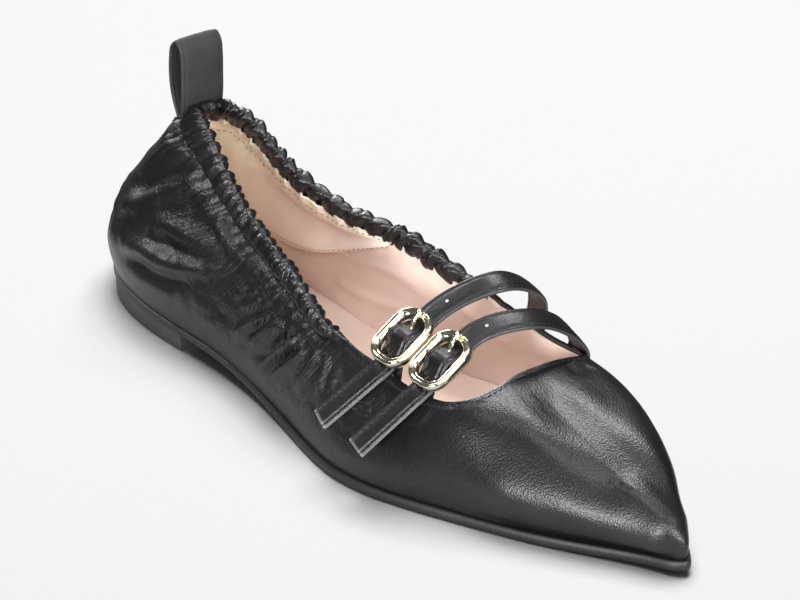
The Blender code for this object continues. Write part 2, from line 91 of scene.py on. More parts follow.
LOOP_WIDTH = 16.0
LOOP_THICK = 1.3
BACKSTAY_WIDTH = 10.0
BACKSTAY_THICK = 1.0
CHAPE_WIDTH = 7.6
CHAPE_THICK = 1.2

STITCH_PITCH = 2.0
STITCH_LENGTH = 1.5
STITCH_INSET = 1.35
STITCH_LIFT = 0.05
THREAD = 0.34

# How finely the large pieces are meshed, as ribs round the shoe and rows up each rib
UPPER_RIBS = 720
UPPER_ROWS = 58
LINING_RIBS = 400
LINING_ROWS = 34
HEEL_LINING_RIBS = 241
HEEL_LINING_LINES = 30
COLLAR_RINGS = 1001
COLLAR_SIDES = 36

# One row for each section of a side, from the back of the heel to the tip of the toe: station, edge,
# top station, top across, top height, wall, flare, reach and drop. The stations are in % of the sole length,
# edge and top across in % of the ball width, medial positive, and the others in % of the collar height.
LATERAL_SECTIONS = (
    (0.0, 3.9, 15.1, 0.0, 99.3, 24.0, 10.5, 38.0, 33.0),
    (1.5, -11.7, 15.5, -4.7, 99.9, 24.0, 11.0, 36.0, 33.0),
    (5.3, -24.7, 16.8, -8.0, 100.3, 25.0, 11.0, 31.0, 33.0),
    (12.1, -33.2, 20.2, -11.4, 97.0, 26.0, 10.5, 22.0, 32.0),
    (21.1, -35.8, 25.8, -15.4, 83.0, 25.0, 10.0, 13.0, 26.0),
    (31.7, -35.8, 33.8, -21.5, 73.0, 22.0, 9.0, 9.0, 22.0),
    (42.3, -40.3, 42.6, -29.2, 68.0, 19.0, 6.5, 6.0, 21.0),
    (52.1, -48.3, 51.5, -34.5, 57.0, 17.0, 4.0, 5.0, 19.0),
    (60.4, -51.8, 59.2, -34.6, 51.0, 18.0, 3.0, 4.5, 17.0),
    (68.7, -45.7, 66.4, -34.3, 48.1, 19.0, 3.0, 4.5, 16.0),
    (77.0, -34.8, 71.5, -30.3, 48.6, 24.0, 3.0, 13.0, 5.0),
    (85.3, -22.3, 73.3, -18.8, 51.1, 27.0, 2.5, 30.0, 5.0),
    (94.0, -6.3, 73.2, -7.8, 52.9, 26.0, 2.5, 56.0, 11.0),
    (98.3, 0.0, 72.9, -2.1, 53.3, 19.0, 3.5, 72.0, 15.0),
    (99.5, 4.9, 72.8, 1.6, 53.4, 17.0, 5.5, 75.0, 16.0),
)
MEDIAL_SECTIONS = (
    LATERAL_SECTIONS[0],
    (1.5, 19.5, 15.5, 4.7, 99.5, 24.0, 10.0, 38.0, 33.0),
    (5.3, 31.2, 16.8, 8.2, 99.5, 25.0, 9.0, 32.0, 33.0),
    (12.1, 34.4, 20.2, 12.2, 94.0, 26.0, 8.5, 20.0, 32.0),
    (21.1, 30.0, 25.8, 17.2, 78.0, 24.0, 9.0, 11.0, 26.0),
    (31.7, 27.5, 33.8, 25.0, 68.0, 22.0, 10.0, 7.0, 22.0),
    (42.3, 31.0, 42.6, 32.6, 64.0, 20.0, 8.0, 4.0, 21.0),
    (52.1, 39.6, 51.5, 36.8, 54.5, 18.0, 5.0, 3.0, 19.0),
    (60.4, 48.1, 59.2, 36.0, 50.4, 19.0, 3.0, 3.5, 17.0),
    (68.7, 47.9, 66.4, 35.5, 48.1, 24.0, 3.5, 4.5, 14.0),
    (77.0, 41.6, 71.7, 34.6, 48.8, 36.0, 4.5, 10.0, 4.0),
    (85.3, 33.4, 72.3, 24.0, 51.1, 43.0, 5.5, 32.0, 4.0),
    (94.0, 19.2, 72.6, 13.0, 52.9, 36.0, 6.0, 58.0, 10.0),
    (98.3, 9.8, 72.7, 5.8, 53.3, 22.0, 5.5, 73.0, 15.0),
    LATERAL_SECTIONS[-1],
)
SECTION_SIZES = (SOLE_LENGTH, BALL_WIDTH, SOLE_LENGTH, BALL_WIDTH) + (COLLAR_HEIGHT,) * 5
TOE = len(LATERAL_SECTIONS) - 1
ROUND = 2 * TOE

# One row for each strap, as stations and points of station, across and height
STRAP_COLUMNS = ("name", "medial_foot", "medial_top", "chape_top", "crest", "shoulder", "buckle", "tail")
STRAPS = (
    (
        "rear", 145.0, 166.0, 164.0,
        (175.5, 8.0, 58.0), (173.0, 22.0, 49.5), (166.8, -22.6, 45.6), (155.6, -44.3, 21.2),
    ),
    (
        "front", 163.0, 186.0, 178.0,
        (188.0, 8.0, 50.6), (187.5, 21.0, 43.8), (182.2, -20.8, 43.8), (172.7, -44.3, 19.0),
    ),
)
BUCKLE_SLOPE = (-0.03, -0.83, -0.55)
BUCKLE_TILT = 0.2
STRAP_TILT = 0.35

# Side view of the heel loop, as rows of station and height
LOOP_ROWS = (
    (37.2, 66.4), (37.9, 72.0), (38.0, 78.0), (38.0, 84.0), (37.2, 88.6), (35.2, 90.4),
    (33.0, 88.8), (31.8, 84.0), (31.7, 77.5), (32.2, 73.6), (33.6, 69.4), (35.4, 65.4),
)

# The main folds of the leather, one row each: its points of place and level, then its width and depth in
# millimetres, negative for a trough, and how far it leans. Places count the section rows from the back of
# the heel, lateral positive and medial negative; levels run from 0 at the sole to 1 at the top edge.
FOLD_COLUMNS = ("points", "width", "depth", "lean")
LATERAL_HEEL_FOLDS = (
    (((3.15, 0.95), (3.0, 0.78), (2.65, 0.65), (2.2, 0.54)), 4.8, -2.3, 0.0),
    (((3.4, 0.82), (3.05, 0.67), (2.55, 0.5), (2.1, 0.42)), 3.4, 1.2, 0.0),
    (((3.8, 0.83), (3.35, 0.68), (3.05, 0.55), (2.55, 0.42), (2.2, 0.34), (1.2, 0.3)), 3.2, -0.8, 0.2),
    (((1.8, 0.26), (2.5, 0.32), (2.9, 0.43), (3.25, 0.56)), 4.5, 0.2, 0.0),
    (((3.1, 0.5), (3.65, 0.54), (4.2, 0.61), (4.5, 0.68)), 2.8, 1.3, 0.2),
    (((3.0, 0.38), (3.35, 0.43), (3.85, 0.5), (4.3, 0.55), (4.6, 0.61)), 3.0, -1.0, 0.0),
    (
        ((2.6, 0.25), (2.9, 0.28), (3.3, 0.33), (3.65, 0.34), (4.0, 0.39), (4.4, 0.49), (4.85, 0.58)),
        2.8, 1.5, 0.2,
    ),
    (((2.9, 0.22), (3.1, 0.24), (3.6, 0.28), (4.1, 0.34), (4.4, 0.44)), 2.8, -1.0, 0.0),
    (((1.0, 0.86), (2.5, 0.855), (2.95, 0.89)), 1.3, -0.9, 0.0),
    (((4.2, 0.8), (4.55, 0.765), (4.85, 0.745)), 1.8, 1.3, 0.0),
    (((4.95, 0.7), (4.75, 0.6), (4.5, 0.52)), 1.3, 0.6, 0.0),
)
LATERAL_QUARTER_FOLDS = (
    (((5.55, 0.7), (5.35, 0.62), (5.15, 0.53)), 1.5, 1.2, 0.0),
    (((5.7, 0.68), (5.45, 0.58), (5.25, 0.48)), 1.5, 1.2, 0.2),
    (((6.05, 0.7), (5.6, 0.48), (5.22, 0.25)), 1.8, 2.0, 0.2),
    (((5.97, 0.64), (5.7, 0.49), (5.45, 0.34)), 1.3, -1.4, 0.0),
    (((6.3, 0.72), (5.85, 0.5), (5.55, 0.27)), 1.8, 2.1, 0.2),
    (((6.42, 0.7), (6.05, 0.45), (5.75, 0.25)), 1.5, -1.6, 0.0),
    (((6.65, 0.74), (6.25, 0.51), (5.88, 0.17)), 2.1, 2.8, 0.3),
    (((6.64, 0.7), (6.36, 0.5), (6.0, 0.2)), 1.1, -1.6, 0.0),
    (((6.78, 0.71), (6.48, 0.5), (6.08, 0.23)), 1.8, 2.1, 0.2),
    (((7.0, 0.78), (6.8, 0.55), (6.68, 0.38)), 1.6, 1.2, 0.2),
    (((7.2, 0.82), (7.15, 0.63), (7.2, 0.47)), 1.3, 0.6, 0.0),
    (((7.4, 0.83), (7.4, 0.68), (7.4, 0.54)), 1.3, 0.5, 0.0),
)
MEDIAL_FOLDS = (
    (((1.6, 0.31), (0.0, 0.31), (-0.9, 0.31), (-1.7, 0.34)), 2.6, -1.2, -0.3),
    (((-1.5, 0.36), (-2.35, 0.56), (-3.1, 0.78)), 6.0, -3.4, 0.2),
    (((-1.8, 0.29), (-2.9, 0.44), (-3.8, 0.64)), 3.2, 1.6, -0.4),
    (((-2.7, 0.26), (-2.85, 0.36), (-3.15, 0.47)), 1.2, -1.0, 0.0),
    (((-2.6, 0.6), (-2.75, 0.68), (-2.95, 0.79)), 1.9, 1.3, 0.0),
    (((-3.0, 0.52), (-3.25, 0.62), (-3.5, 0.76)), 1.9, 1.2, 0.0),
    (((-3.85, 0.65), (-4.35, 0.62), (-4.9, 0.66)), 2.6, 1.1, 0.0),
    (((-4.1, 0.14), (-4.4, 0.3), (-4.75, 0.48)), 3.0, 0.8, 0.0),
    (((-4.75, 0.08), (-4.95, 0.34), (-5.15, 0.62)), 2.4, -0.9, 0.0),
    (((-5.15, 0.03), (-5.45, 0.42), (-5.65, 0.8)), 1.7, -1.7, 0.3),
    (((-5.45, 0.08), (-5.62, 0.4), (-5.82, 0.74)), 2.4, 1.2, 0.0),
    (((-5.7, 0.04), (-5.82, 0.36), (-6.0, 0.74)), 1.9, -1.9, 0.3),
    (((-5.95, 0.16), (-6.05, 0.4), (-6.18, 0.66)), 2.0, 1.0, 0.0),
    (((-6.05, 0.1), (-6.2, 0.37), (-6.38, 0.66)), 1.6, -1.2, 0.2),
)
VAMP_FOLDS = (
    (
        ((-12.2, 0.95), (-12.9, 0.84), (-13.65, 0.75), (-14.3, 0.59), (-14.5, 0.3), (-14.5, 0.15)),
        6.0, 0.6, 0.0,
    ),
    (((-11.5, 0.9), (-12.1, 0.74), (-12.7, 0.6), (-13.3, 0.44), (-13.7, 0.25)), 8.0, -0.5, 0.0),
    (((11.9, 0.96), (11.55, 0.8), (11.35, 0.68), (11.4, 0.44), (11.5, 0.3)), 5.5, 0.4, 0.0),
    (((13.0, 0.98), (12.7, 0.75), (12.55, 0.6), (12.5, 0.4)), 7.0, -1.2, 0.0),
    (((9.6, 0.26), (10.6, 0.2), (11.5, 0.15), (12.4, 0.11), (13.3, 0.09)), 8.0, 2.6, 0.0),
    (((-11.6, 0.95), (-11.2, 0.9), (-10.6, 0.86)), 2.4, -0.5, 0.0),
    (((8.95, 0.94), (8.75, 0.76), (8.45, 0.58)), 1.3, 0.35, 0.0),
    (((8.5, 0.92), (8.3, 0.74), (8.05, 0.56)), 1.3, 0.3, 0.0),
    (((9.45, 0.93), (9.3, 0.8), (9.05, 0.66)), 1.4, 0.3, 0.0),
)
FOLDS = LATERAL_HEEL_FOLDS + LATERAL_QUARTER_FOLDS + MEDIAL_FOLDS + VAMP_FOLDS

# Soft creases of the side lining, in the same columns
LINING_FOLDS = (
    (((-3.9, 0.34), (-4.9, 0.54), (-5.85, 0.67), (-6.5, 0.6)), 2.2, -1.1, 0.0),
    (((-4.6, 0.2), (-5.15, 0.23), (-5.6, 0.3), (-6.2, 0.42)), 2.0, -0.8, 0.0),
    (((-6.6, 0.75), (-7.2, 0.6), (-8.0, 0.52)), 1.8, -0.8, 0.0),
    (((-7.6, 0.4), (-8.3, 0.45), (-9.2, 0.42)), 2.0, -0.6, 0.0),
    (((4.4, 0.4), (5.2, 0.5), (6.1, 0.46)), 2.4, -0.8, 0.0),
)

# Lower edge of the heel lining, as rows of place from the back and level
HEEL_LINING_ROWS = (
    (0.0, 0.10), (2.0, 0.12), (2.7, 0.17), (3.35, 0.24), (4.1, 0.39), (4.7, 0.55), (5.25, 0.71), (5.75, 0.86),
)
HEEL_LINING_END = HEEL_LINING_ROWS[-1][0]

# Section of a buckle's frame, in halves of its size: a raised outer rim, a groove and an inner rim
FRAME_SECTION = (
    (0.7, -1.0), (0.9, -0.88), (0.99, -0.5), (1.0, 0.0), (0.96, 0.42), (0.85, 0.76), (0.68, 0.95),
    (0.5, 1.0), (0.32, 0.94), (0.17, 0.83), (0.03, 0.77), (-0.12, 0.79), (-0.3, 0.84), (-0.5, 0.8),
    (-0.7, 0.64), (-0.86, 0.36), (-0.96, 0.0), (-0.99, -0.45), (-0.9, -0.86), (-0.66, -1.0),
)

# Sides of the sole and the heel, from below upwards: millimetres in from the edge, and share of the height
OUTSOLE_SIDE = ((2.2, 0.0), (0.75, 0.0), (0.25, 0.12), (0.03, 0.3), (0.0, 0.6), (0.12, 0.88), (0.5, 1.0))
HEEL_SIDE = ((1.5, 0.0), (0.95, 0.05), (0.75, 0.16), (0.5, 0.9), (0.55, 1.0))


def section_loop():
    """The section rows once round the shoe: back of the heel, lateral side, toe, medial side."""
    rows = LATERAL_SECTIONS + MEDIAL_SECTIONS[TOE - 1:0:-1]
    return np.array(rows) * SECTION_SIZES / 100


def spline_weights(t):
    """Weights of the four neighbours on a uniform cubic B-spline."""
    return (
        (1 - t) ** 3 / 6,
        (3 * t ** 3 - 6 * t ** 2 + 4) / 6,
        (-3 * t ** 3 + 3 * t ** 2 + 3 * t + 1) / 6,
        t ** 3 / 6,
    )


def spline_control(rows):
    """Control rows of the closed spline that passes through the rows."""
    same = np.eye(len(rows))
    near = np.roll(same, 1, axis=0) + np.roll(same, -1, axis=0)
    return np.linalg.solve((4 * same + near) / 6, rows)


CONTROL = spline_control(section_loop())


def sections(place):
    """The section columns at these places round the shoe, in row units from the back of the heel."""
    place = np.asarray(place, float) % ROUND
    row = np.floor(place).astype(int)
    weights = spline_weights((place - row)[..., None])
    return sum(weight * CONTROL[(row + step - 1) % ROUND] for step, weight in enumerate(weights))


def outline(place, inset):
    """Plan of the sole edge moved inwards, as rows of station and across."""
    small = 1e-3
    along = sections(np.asarray(place) + small)[..., :2] - sections(np.asarray(place) - small)[..., :2]
    along /= np.linalg.norm(along, axis=-1, keepdims=True)
    inward = np.stack([-along[..., 1], along[..., 0]], -1)
    return sections(place)[..., :2] + inward * np.asarray(inset)[..., None]


def smooth(t):
    t = np.clip(t, 0.0, 1.0)
    return t * t * (3 - 2 * t)


def bell(value, middle, width):
    """A soft bump of height 1 about the middle."""
    return np.exp(-((value - middle) / width) ** 2)


def unit(vectors):
    return vectors / np.linalg.norm(vectors, axis=-1, keepdims=True)


def sole_rise(station):
    """Height of the outsole's lower face over the floor."""
    shank = HEEL_BREAST_HEIGHT * smooth((TREAD_START - station) / (TREAD_START - HEEL_LENGTH))
    seat = (HEEL_BACK_HEIGHT - HEEL_BREAST_HEIGHT) * np.clip(1 - station / HEEL_LENGTH, 0, None)
    spring = TOE_SPRING * np.clip((station - TREAD_END) / (SOLE_LENGTH - TREAD_END), 0, None) ** 2
    return shank + seat + spring


def sole_top(station):
    """Height of the outsole's upper face."""
    front = smooth((station - HEEL_LENGTH) / (TREAD_START - HEEL_LENGTH))
    return sole_rise(station) + WAIST_EDGE + (SOLE_EDGE - WAIST_EDGE) * front


def feather_inset(station):
    """How far the upper stands in from the sole edge: a narrow ledge round the front half only."""
    return HEEL_WELT + (WELT - HEEL_WELT) * smooth((station - 90) / 45)


def skin(place, level):
    """Points of the upper's smooth outer face: level 0 at the sole, 1 at the top edge."""
    place, level = np.broadcast_arrays(np.asarray(place, float), np.asarray(level, float))
    row = sections(place)
    plan = outline(place, feather_inset(row[..., 0]))
    outer = outline(place, feather_inset(row[..., 0]) - 1.0) - plan
    foot = np.concatenate([plan, (sole_top(plan[..., 0]) + GAP)[..., None]], -1)
    top = row[..., 2:5]
    down = unit(foot[..., :2] - top[..., :2])
    wall, flare, reach, drop = (row[..., column, None] for column in (5, 6, 7, 8))
    low = foot + np.concatenate([outer * flare, wall], -1)
    high = top + np.concatenate([down * reach, -drop], -1)
    t = level[..., None]
    return (1 - t) ** 3 * foot + 3 * t * (1 - t) ** 2 * low + 3 * t * t * (1 - t) * high + t ** 3 * top


def skin_normal(place, level):
    """Outward unit normals of the upper's smooth outer face."""
    small = 1e-3
    around = skin(np.asarray(place) + small, level) - skin(np.asarray(place) - small, level)
    rise = skin(place, np.asarray(level) + small) - skin(place, np.asarray(level) - small)
    return unit(np.cross(around, rise))


def place_of(station, side, top):
    """Place of the rib with this station, at the sole or at the top edge: medial places are negative."""
    places = np.linspace(0, TOE, 561) * side
    return float(np.interp(station, sections(places)[:, 2 if top else 0], places))


LATERAL, MEDIAL = 1.0, -1.0
BAND_LATERAL = place_of(BAND_STATION, LATERAL, True)
BAND_MEDIAL = place_of(BAND_STATION, MEDIAL, True)


def lateral_wall(point):
    """Place and level on the lateral wall at the station and height of a point."""
    places, levels = np.meshgrid(np.linspace(6.0, 11.0, 301), np.linspace(0.1, 1.0, 181), indexing="ij")
    far = np.linalg.norm((skin(places, levels) - point)[..., (0, 2)], axis=-1)
    nearest = np.unravel_index(np.argmin(far), far.shape)
    return places[nearest], levels[nearest]


def band_height(place):
    """Height of the gathered band along the top edge; it runs out beside the rear strap."""
    station = sections(place)[..., 2]
    front = (BAND_HEIGHT - BAND_FRONT) * smooth((station - 42) / 40)
    return BAND_HEIGHT - front - (BAND_FRONT - BAND_END) * smooth((station - 128) / 16)


def level_below(place, distance):
    """Level on each rib at this distance under the top edge, measured along the rib."""
    levels = np.linspace(0, 1, 161)
    place = np.atleast_1d(place)
    distance = np.broadcast_to(distance, place.shape)
    points = skin(place[:, None], levels[None, :])
    steps = np.linalg.norm(np.diff(points, axis=1), axis=2)
    under = np.concatenate([np.cumsum(steps[:, ::-1], axis=1)[:, ::-1], np.zeros((len(place), 1))], 1)
    return np.array([np.interp(-far, -row, levels) for far, row in zip(distance, under)])


def banded(place):
    return (place <= BAND_LATERAL) & (place >= BAND_MEDIAL)


def band_edge(place):
    """Distance from the top edge down to where the upper leaves the band; none in front of it."""
    beyond = np.maximum(place - BAND_LATERAL, BAND_MEDIAL - place)
    return np.where(banded(place), band_height(place), BAND_END * (1 - smooth(beyond / 0.5)))


def through(keys, spacing):
    """Points along a smooth open curve through the keys, at least two for each span."""
    keys = np.asarray(keys, float)
    steps = np.linalg.norm(np.diff(keys[:, :3], axis=0), axis=1)
    knots = np.concatenate([[0.0], np.cumsum(steps)])
    slope = np.gradient(keys, knots, axis=0)
    spans = np.maximum(np.round(steps / spacing).astype(int), 2)
    at = [np.linspace(knots[span], knots[span + 1], parts, False) for span, parts in enumerate(spans)]
    at = np.concatenate(at + [knots[-1:]])
    index = np.clip(np.searchsorted(knots, at, side="right") - 1, 0, len(keys) - 2)
    width = (knots[index + 1] - knots[index])[:, None]
    t = (at - knots[index])[:, None] / width
    start = (2 * t ** 3 - 3 * t * t + 1) * keys[index] + (t ** 3 - 2 * t * t + t) * width * slope[index]
    finish = (3 * t * t - 2 * t ** 3) * keys[index + 1] + (t ** 3 - t * t) * width * slope[index + 1]
    return start + finish


def even_places(start, end, count, detail):
    """Places spread along the side by its length, closer together where detail is large."""
    places = np.linspace(start, end, 4001)
    points = skin(places, 0.75)
    steps = np.linalg.norm(np.diff(points, axis=0), axis=1) * detail((places[1:] + places[:-1]) / 2)
    run = np.concatenate([[0.0], np.cumsum(steps)])
    return np.interp(np.linspace(0, run[-1], count), run, places)


# Puckers of the collar
COLLAR_PLACES = np.linspace(BAND_MEDIAL, BAND_LATERAL, 2401)
COLLAR_RUN = np.concatenate(
    [[0.0], np.cumsum(np.linalg.norm(np.diff(skin(COLLAR_PLACES, 1.0), axis=0), axis=1))]
)


def pucker_rows():
    """Runs along the collar where its gathers pinch, and each gather's strength, length, slant and crease."""
    random = np.random.default_rng(5)
    run = 1.0
    rows = []
    while run < COLLAR_RUN[-1]:
        place = np.interp(run, COLLAR_RUN, COLLAR_PLACES)
        lateral = smooth((place + 1.5) / 3.0)
        pitch = PITCH_MEDIAL + (PITCH_LATERAL - PITCH_MEDIAL) * lateral
        pitch = pitch + (PITCH_FRONT - PITCH_LATERAL) * smooth((place - 3.5) / 2.0)
        strength = random.uniform(0.35, 1.0)
        length = 4.5 + 13.0 * random.uniform(0.0, 1.0) ** 2
        rows.append((run, strength, length, random.uniform(-0.55, 0.55), random.uniform(0.3, 0.7)))
        run += pitch * random.uniform(0.55, 1.45)
    return np.array(rows)


PUCKER_RUN, PUCKER_STRENGTH, PUCKER_LENGTH, PUCKER_SLANT, PUCKER_CREASE = pucker_rows().T


def crumple_of(place, level):
    """How crazed the leather is: most in the quarters under the gathers, little on the vamp."""
    front = smooth((np.abs(place) - 7.0) / 2.2)
    corner = bell(place, 8.3, 0.9) * bell(level, 0.75, 0.35)
    low = smooth((level - 0.08) / 0.3)
    counter = 1 - 0.8 * (1 - smooth((level - 0.2) / 0.25)) * (1 - smooth((np.abs(place) - 3.4) / 1.2))
    return (0.95 - 0.87 * front) * (0.6 + 0.4 * low) * counter + 0.55 * corner


def fold_relief(place, level, folds):
    """How far these folds lift the leather off the smooth skin, in millimetres."""
    points = skin(place, level)
    lift = np.zeros(place.shape)
    for row in folds:
        fold = dict(zip(FOLD_COLUMNS, row))
        line = through([(spot[0], spot[1], 0.0) for spot in fold["points"]], 0.04)
        path = skin(line[:, 0], line[:, 1])
        spread = 4 * fold["width"]
        near = ((points > path.min(0) - spread) & (points < path.max(0) + spread)).all(-1)
        side = unit(np.cross(skin_normal(line[:, 0], line[:, 1]), np.gradient(path, axis=0)))
        away = points[near][:, None, :] - path[None, :, :]
        far = np.linalg.norm(away, axis=2)
        nearest = far.argmin(axis=1)
        rows = np.arange(len(nearest))
        turned = np.sum(away[rows, nearest] * side[nearest], axis=1)
        width = fold["width"] * (1 + fold["lean"] * np.sign(turned))
        reach = far[rows, nearest] / width
        last = len(line) - 1
        ends = smooth(np.minimum(nearest, last - nearest) / last / 0.25)
        cusp = 1.4 if fold["depth"] < 0 and fold["width"] < 5 else 2.0
        shape = np.exp(-reach ** cusp) - 0.25 * bell(reach, 1.9, 0.8)
        lift[near] += fold["depth"] * shape * ends
    return lift


def gather_relief(place, under):
    """How far the gathers of the collar lift the leather, at this distance under the band."""
    run = np.interp(place, COLLAR_PLACES, COLLAR_RUN)
    ends = smooth((place - BAND_MEDIAL) / 0.9) * smooth((BAND_LATERAL - place) / 0.7)
    depth = np.maximum(under, 0.0)
    back = np.where(place > 0, -0.5, 0.5) * smooth((np.abs(place) - 1.0) / 2.0)
    phase = np.interp(run - back * depth, PUCKER_RUN, np.arange(len(PUCKER_RUN)))
    which = phase.astype(int)
    fade = bell(depth, 0.0, PUCKER_LENGTH[which])
    pucker = PUCKER_STRENGTH[which] * np.abs(np.sin(math.pi * phase)) ** 0.7 * fade
    roll = smooth((place - 3.8) / 0.8)
    pucker = pucker * (1 - 0.5 * roll * (1 - smooth((depth - 3.5) / 3.0)))
    seam = 0.8 * bell(depth, 5.0, 3.5) - 0.7 * bell(depth, 0.0, 1.6)
    seam = seam + roll * (0.3 * bell(depth, 3.5, 2.6) - 0.1 * bell(depth, 8.0, 2.4))
    return (GATHER_LIFT * pucker - 0.8 * bell(depth, 0.0, 9.0) + seam) * ends


def wave_field(points, shortest, longest, seed):
    """A smooth random field about 0, made of waves that cross the leather in all directions."""
    random = np.random.default_rng(seed)
    total = np.zeros(points.shape[:-1])
    for _ in range(14):
        way = unit(random.normal(size=3))
        length = random.uniform(shortest, longest)
        total += np.sin(points @ way * (2 * math.pi / length) + random.uniform(0, 2 * math.pi))
    return total / math.sqrt(14)


def crumple_relief(place, level):
    """Small irregular dents between the main folds."""
    points = skin(place, level)
    bent = points + np.stack([wave_field(points, 22.0, 40.0, seed) * 3.5 for seed in (1, 2, 3)], -1)
    large = np.abs(wave_field(bent, 16.0, 26.0, 4)) - 0.55
    small = np.abs(wave_field(bent, 7.0, 11.0, 6)) - 0.55
    return (0.4 * large + 0.16 * small) * crumple_of(place, level)


def calmed(lift, reach, ends):
    """A smoother relief that nowhere stands above this one: its lowest values nearby, evened out."""
    for pick in (np.min, np.mean):
        for axis, mode in ((0, ends), (1, "edge")):
            room = [(reach, reach) if side == axis else (0, 0) for side in (0, 1)]
            wide = np.pad(lift, room, mode=mode)
            count = lift.shape[axis]
            shifts = [wide.take(np.arange(start, start + count), axis) for start in range(2 * reach + 1)]
            lift = pick(shifts, 0)
    return lift


def pleats(place, level):
    """Fine pleats under the gathers: where they lie across, how far down, and how strong they are."""
    depth = np.maximum(rib_depth(place, level) - band_edge(place[:, 0])[:, None], 0.0)
    back = np.where(place > 0, -0.5, 0.5) * smooth((np.abs(place) - 1.0) / 2.0)
    across = np.interp(place, COLLAR_PLACES, COLLAR_RUN) - back * depth
    side = smooth((np.abs(place) - 2.6) / 1.6) * smooth((7.6 - np.abs(place)) / 0.9)
    tall = smooth((depth - 3.0) / 4.0) * smooth((26.0 - depth) / 16.0)
    return across, depth, side * tall


def rib_depth(place, level):
    """Distance of each grid point under the top edge, along its rib."""
    points = skin(place, level)
    steps = np.linalg.norm(np.diff(points, axis=1), axis=2)
    rest = np.linalg.norm(points[:, -1] - skin(place[:, -1], 1.0), axis=1)
    inner = np.cumsum(steps[:, ::-1], axis=1)[:, ::-1]
    return np.concatenate([inner, np.zeros((len(points), 1))], 1) + rest[:, None]


def relief(place, level):
    """The leather's whole relief on a grid of ribs and levels."""
    depth = rib_depth(place, level)
    edge = band_edge(place[:, 0])[:, None]
    lift = fold_relief(place, level, FOLDS) + crumple_relief(place, level)
    lift = lift + gather_relief(place, depth - edge)
    hem = np.where(banded(place), 0.0, HEM_LIFT * smooth((HEM_WIDTH - depth) / 0.7))
    return lift * smooth(level / 0.06) + hem


def leather_face(place, level):
    """Points of the leather with its relief on a grid of ribs and levels, and the skin's normals there."""
    normal = skin_normal(place, level)
    return skin(place, level) + normal * relief(place, level)[..., None], normal


# Meshes
def add_piece(name, points, faces, material, sharp=50.0):
    """A closed mesh piece from points in millimetres, stationed from the back of the heel."""
    mesh = bpy.data.meshes.new(name)
    moved = (np.asarray(points, float) - (HEEL_CENTRE, 0.0, 0.0)) * MM
    mesh.from_pydata(moved.tolist(), [], faces)
    mesh.update()
    mesh.materials.append(material)
    mesh.shade_smooth()
    mesh.set_sharp_from_angle(angle=math.radians(sharp))
    face_outwards(mesh)
    obj = bpy.data.objects.new(name, mesh)
    bpy.context.scene.collection.objects.link(obj)
    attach(obj, "root")
    return obj


def set_attribute(obj, name, values):
    attribute = obj.data.attributes.new(name, "FLOAT", "POINT")
    attribute.data.foreach_set("value", np.ascontiguousarray(values, np.float32).ravel())


def face_outwards(mesh):
    """Turns a closed mesh's faces outwards, by the sign of its volume."""
    mesh.calc_loop_triangles()
    corners = np.empty(len(mesh.vertices) * 3)
    mesh.vertices.foreach_get("co", corners)
    index = np.empty(len(mesh.loop_triangles) * 3, np.int32)
    mesh.loop_triangles.foreach_get("vertices", index)
    triangles = corners.reshape(-1, 3)[index.reshape(-1, 3)]
    if np.linalg.det(triangles).sum() < 0:
        mesh.flip_normals()


def sweep(rings, closed):
    """Points and faces of a skin over rings of points, capped at both ends unless it closes on itself."""
    rings = np.asarray(rings)
    count, sides = rings.shape[:2]
    ring = np.arange(count if closed else count - 1)[:, None]
    side = np.arange(sides)[None, :]
    first = ring * sides
    second = (ring + 1) % count * sides
    after = (side + 1) % sides
    quads = np.stack([first + side, first + after, second + after, second + side], -1)
    faces = [tuple(face) for face in quads.reshape(-1, 4).tolist()]
    if not closed:
        faces.append(tuple(range(sides))[::-1])
        faces.append(tuple(range((count - 1) * sides, count * sides)))
    return rings.reshape(-1, 3), faces


def shell(outer, inner, closed):
    """Points and faces of a thin wall, from the grids of points of its two faces."""
    return sweep(np.concatenate([outer, inner[:, ::-1]], 1), closed)


def plate(layers):
    """Points and faces of a flat body: plans from below upwards, lateral and medial points in pairs."""
    count = len(layers[0])
    points = np.concatenate(layers)
    faces = []
    for layer in range(len(layers) - 1):
        for index in range(count):
            after = (index + 1) % count
            start, end = layer * count, (layer + 1) * count
            faces.append((start + index, end + index, end + after, start + after))
    last = (len(layers) - 1) * count
    for index in range(count // 2):
        corners = [index, index + 1, count - index - 1, (count - index) % count]
        corners = list(dict.fromkeys(corners))
        faces.append(tuple(corners))
        faces.append(tuple(last + corner for corner in corners[::-1]))
    return points, faces


def strip_frame(path):
    """Centre line, direction across and facing of a strip along a path of points and facings."""
    centre = path[:, :3]
    way = unit(np.gradient(centre, axis=0))
    across = unit(np.cross(path[:, 3:], way))
    return centre, across, np.cross(way, across)


STRIP_TOP = np.cos(np.linspace(0, math.pi, 37))
STRIP_SHARES = np.concatenate([STRIP_TOP, STRIP_TOP[-2:0:-1]])
STRIP_SIDES = np.where(np.arange(len(STRIP_SHARES)) < len(STRIP_TOP), 1.0, -1.0)


def strip_rings(path, width, thick, groove, ribs=0):
    """Rings of a strip with turned edges, a stitch groove along each edge and, for elastic, ribs."""
    centre, across, facing = strip_frame(path)
    half = np.broadcast_to(width / 2, len(path))[:, None]
    rings = []
    for x, side in zip(STRIP_SHARES, STRIP_SIDES):
        inside = half * (1 - abs(x))
        high = thick / 2 * (1 - abs(x) ** 9) ** 0.5
        high = high + groove * (1.0 - x * x - 1.5 * bell(inside, STITCH_INSET, 0.35)) * (abs(x) < 1)
        high = high - 0.16 * (1 - math.cos(math.pi * ribs * x)) * (1 - abs(x) ** 9)
        rings.append(centre + across * x * half + facing * np.maximum(high, 0.0) * side)
    return np.stack(rings, 1)


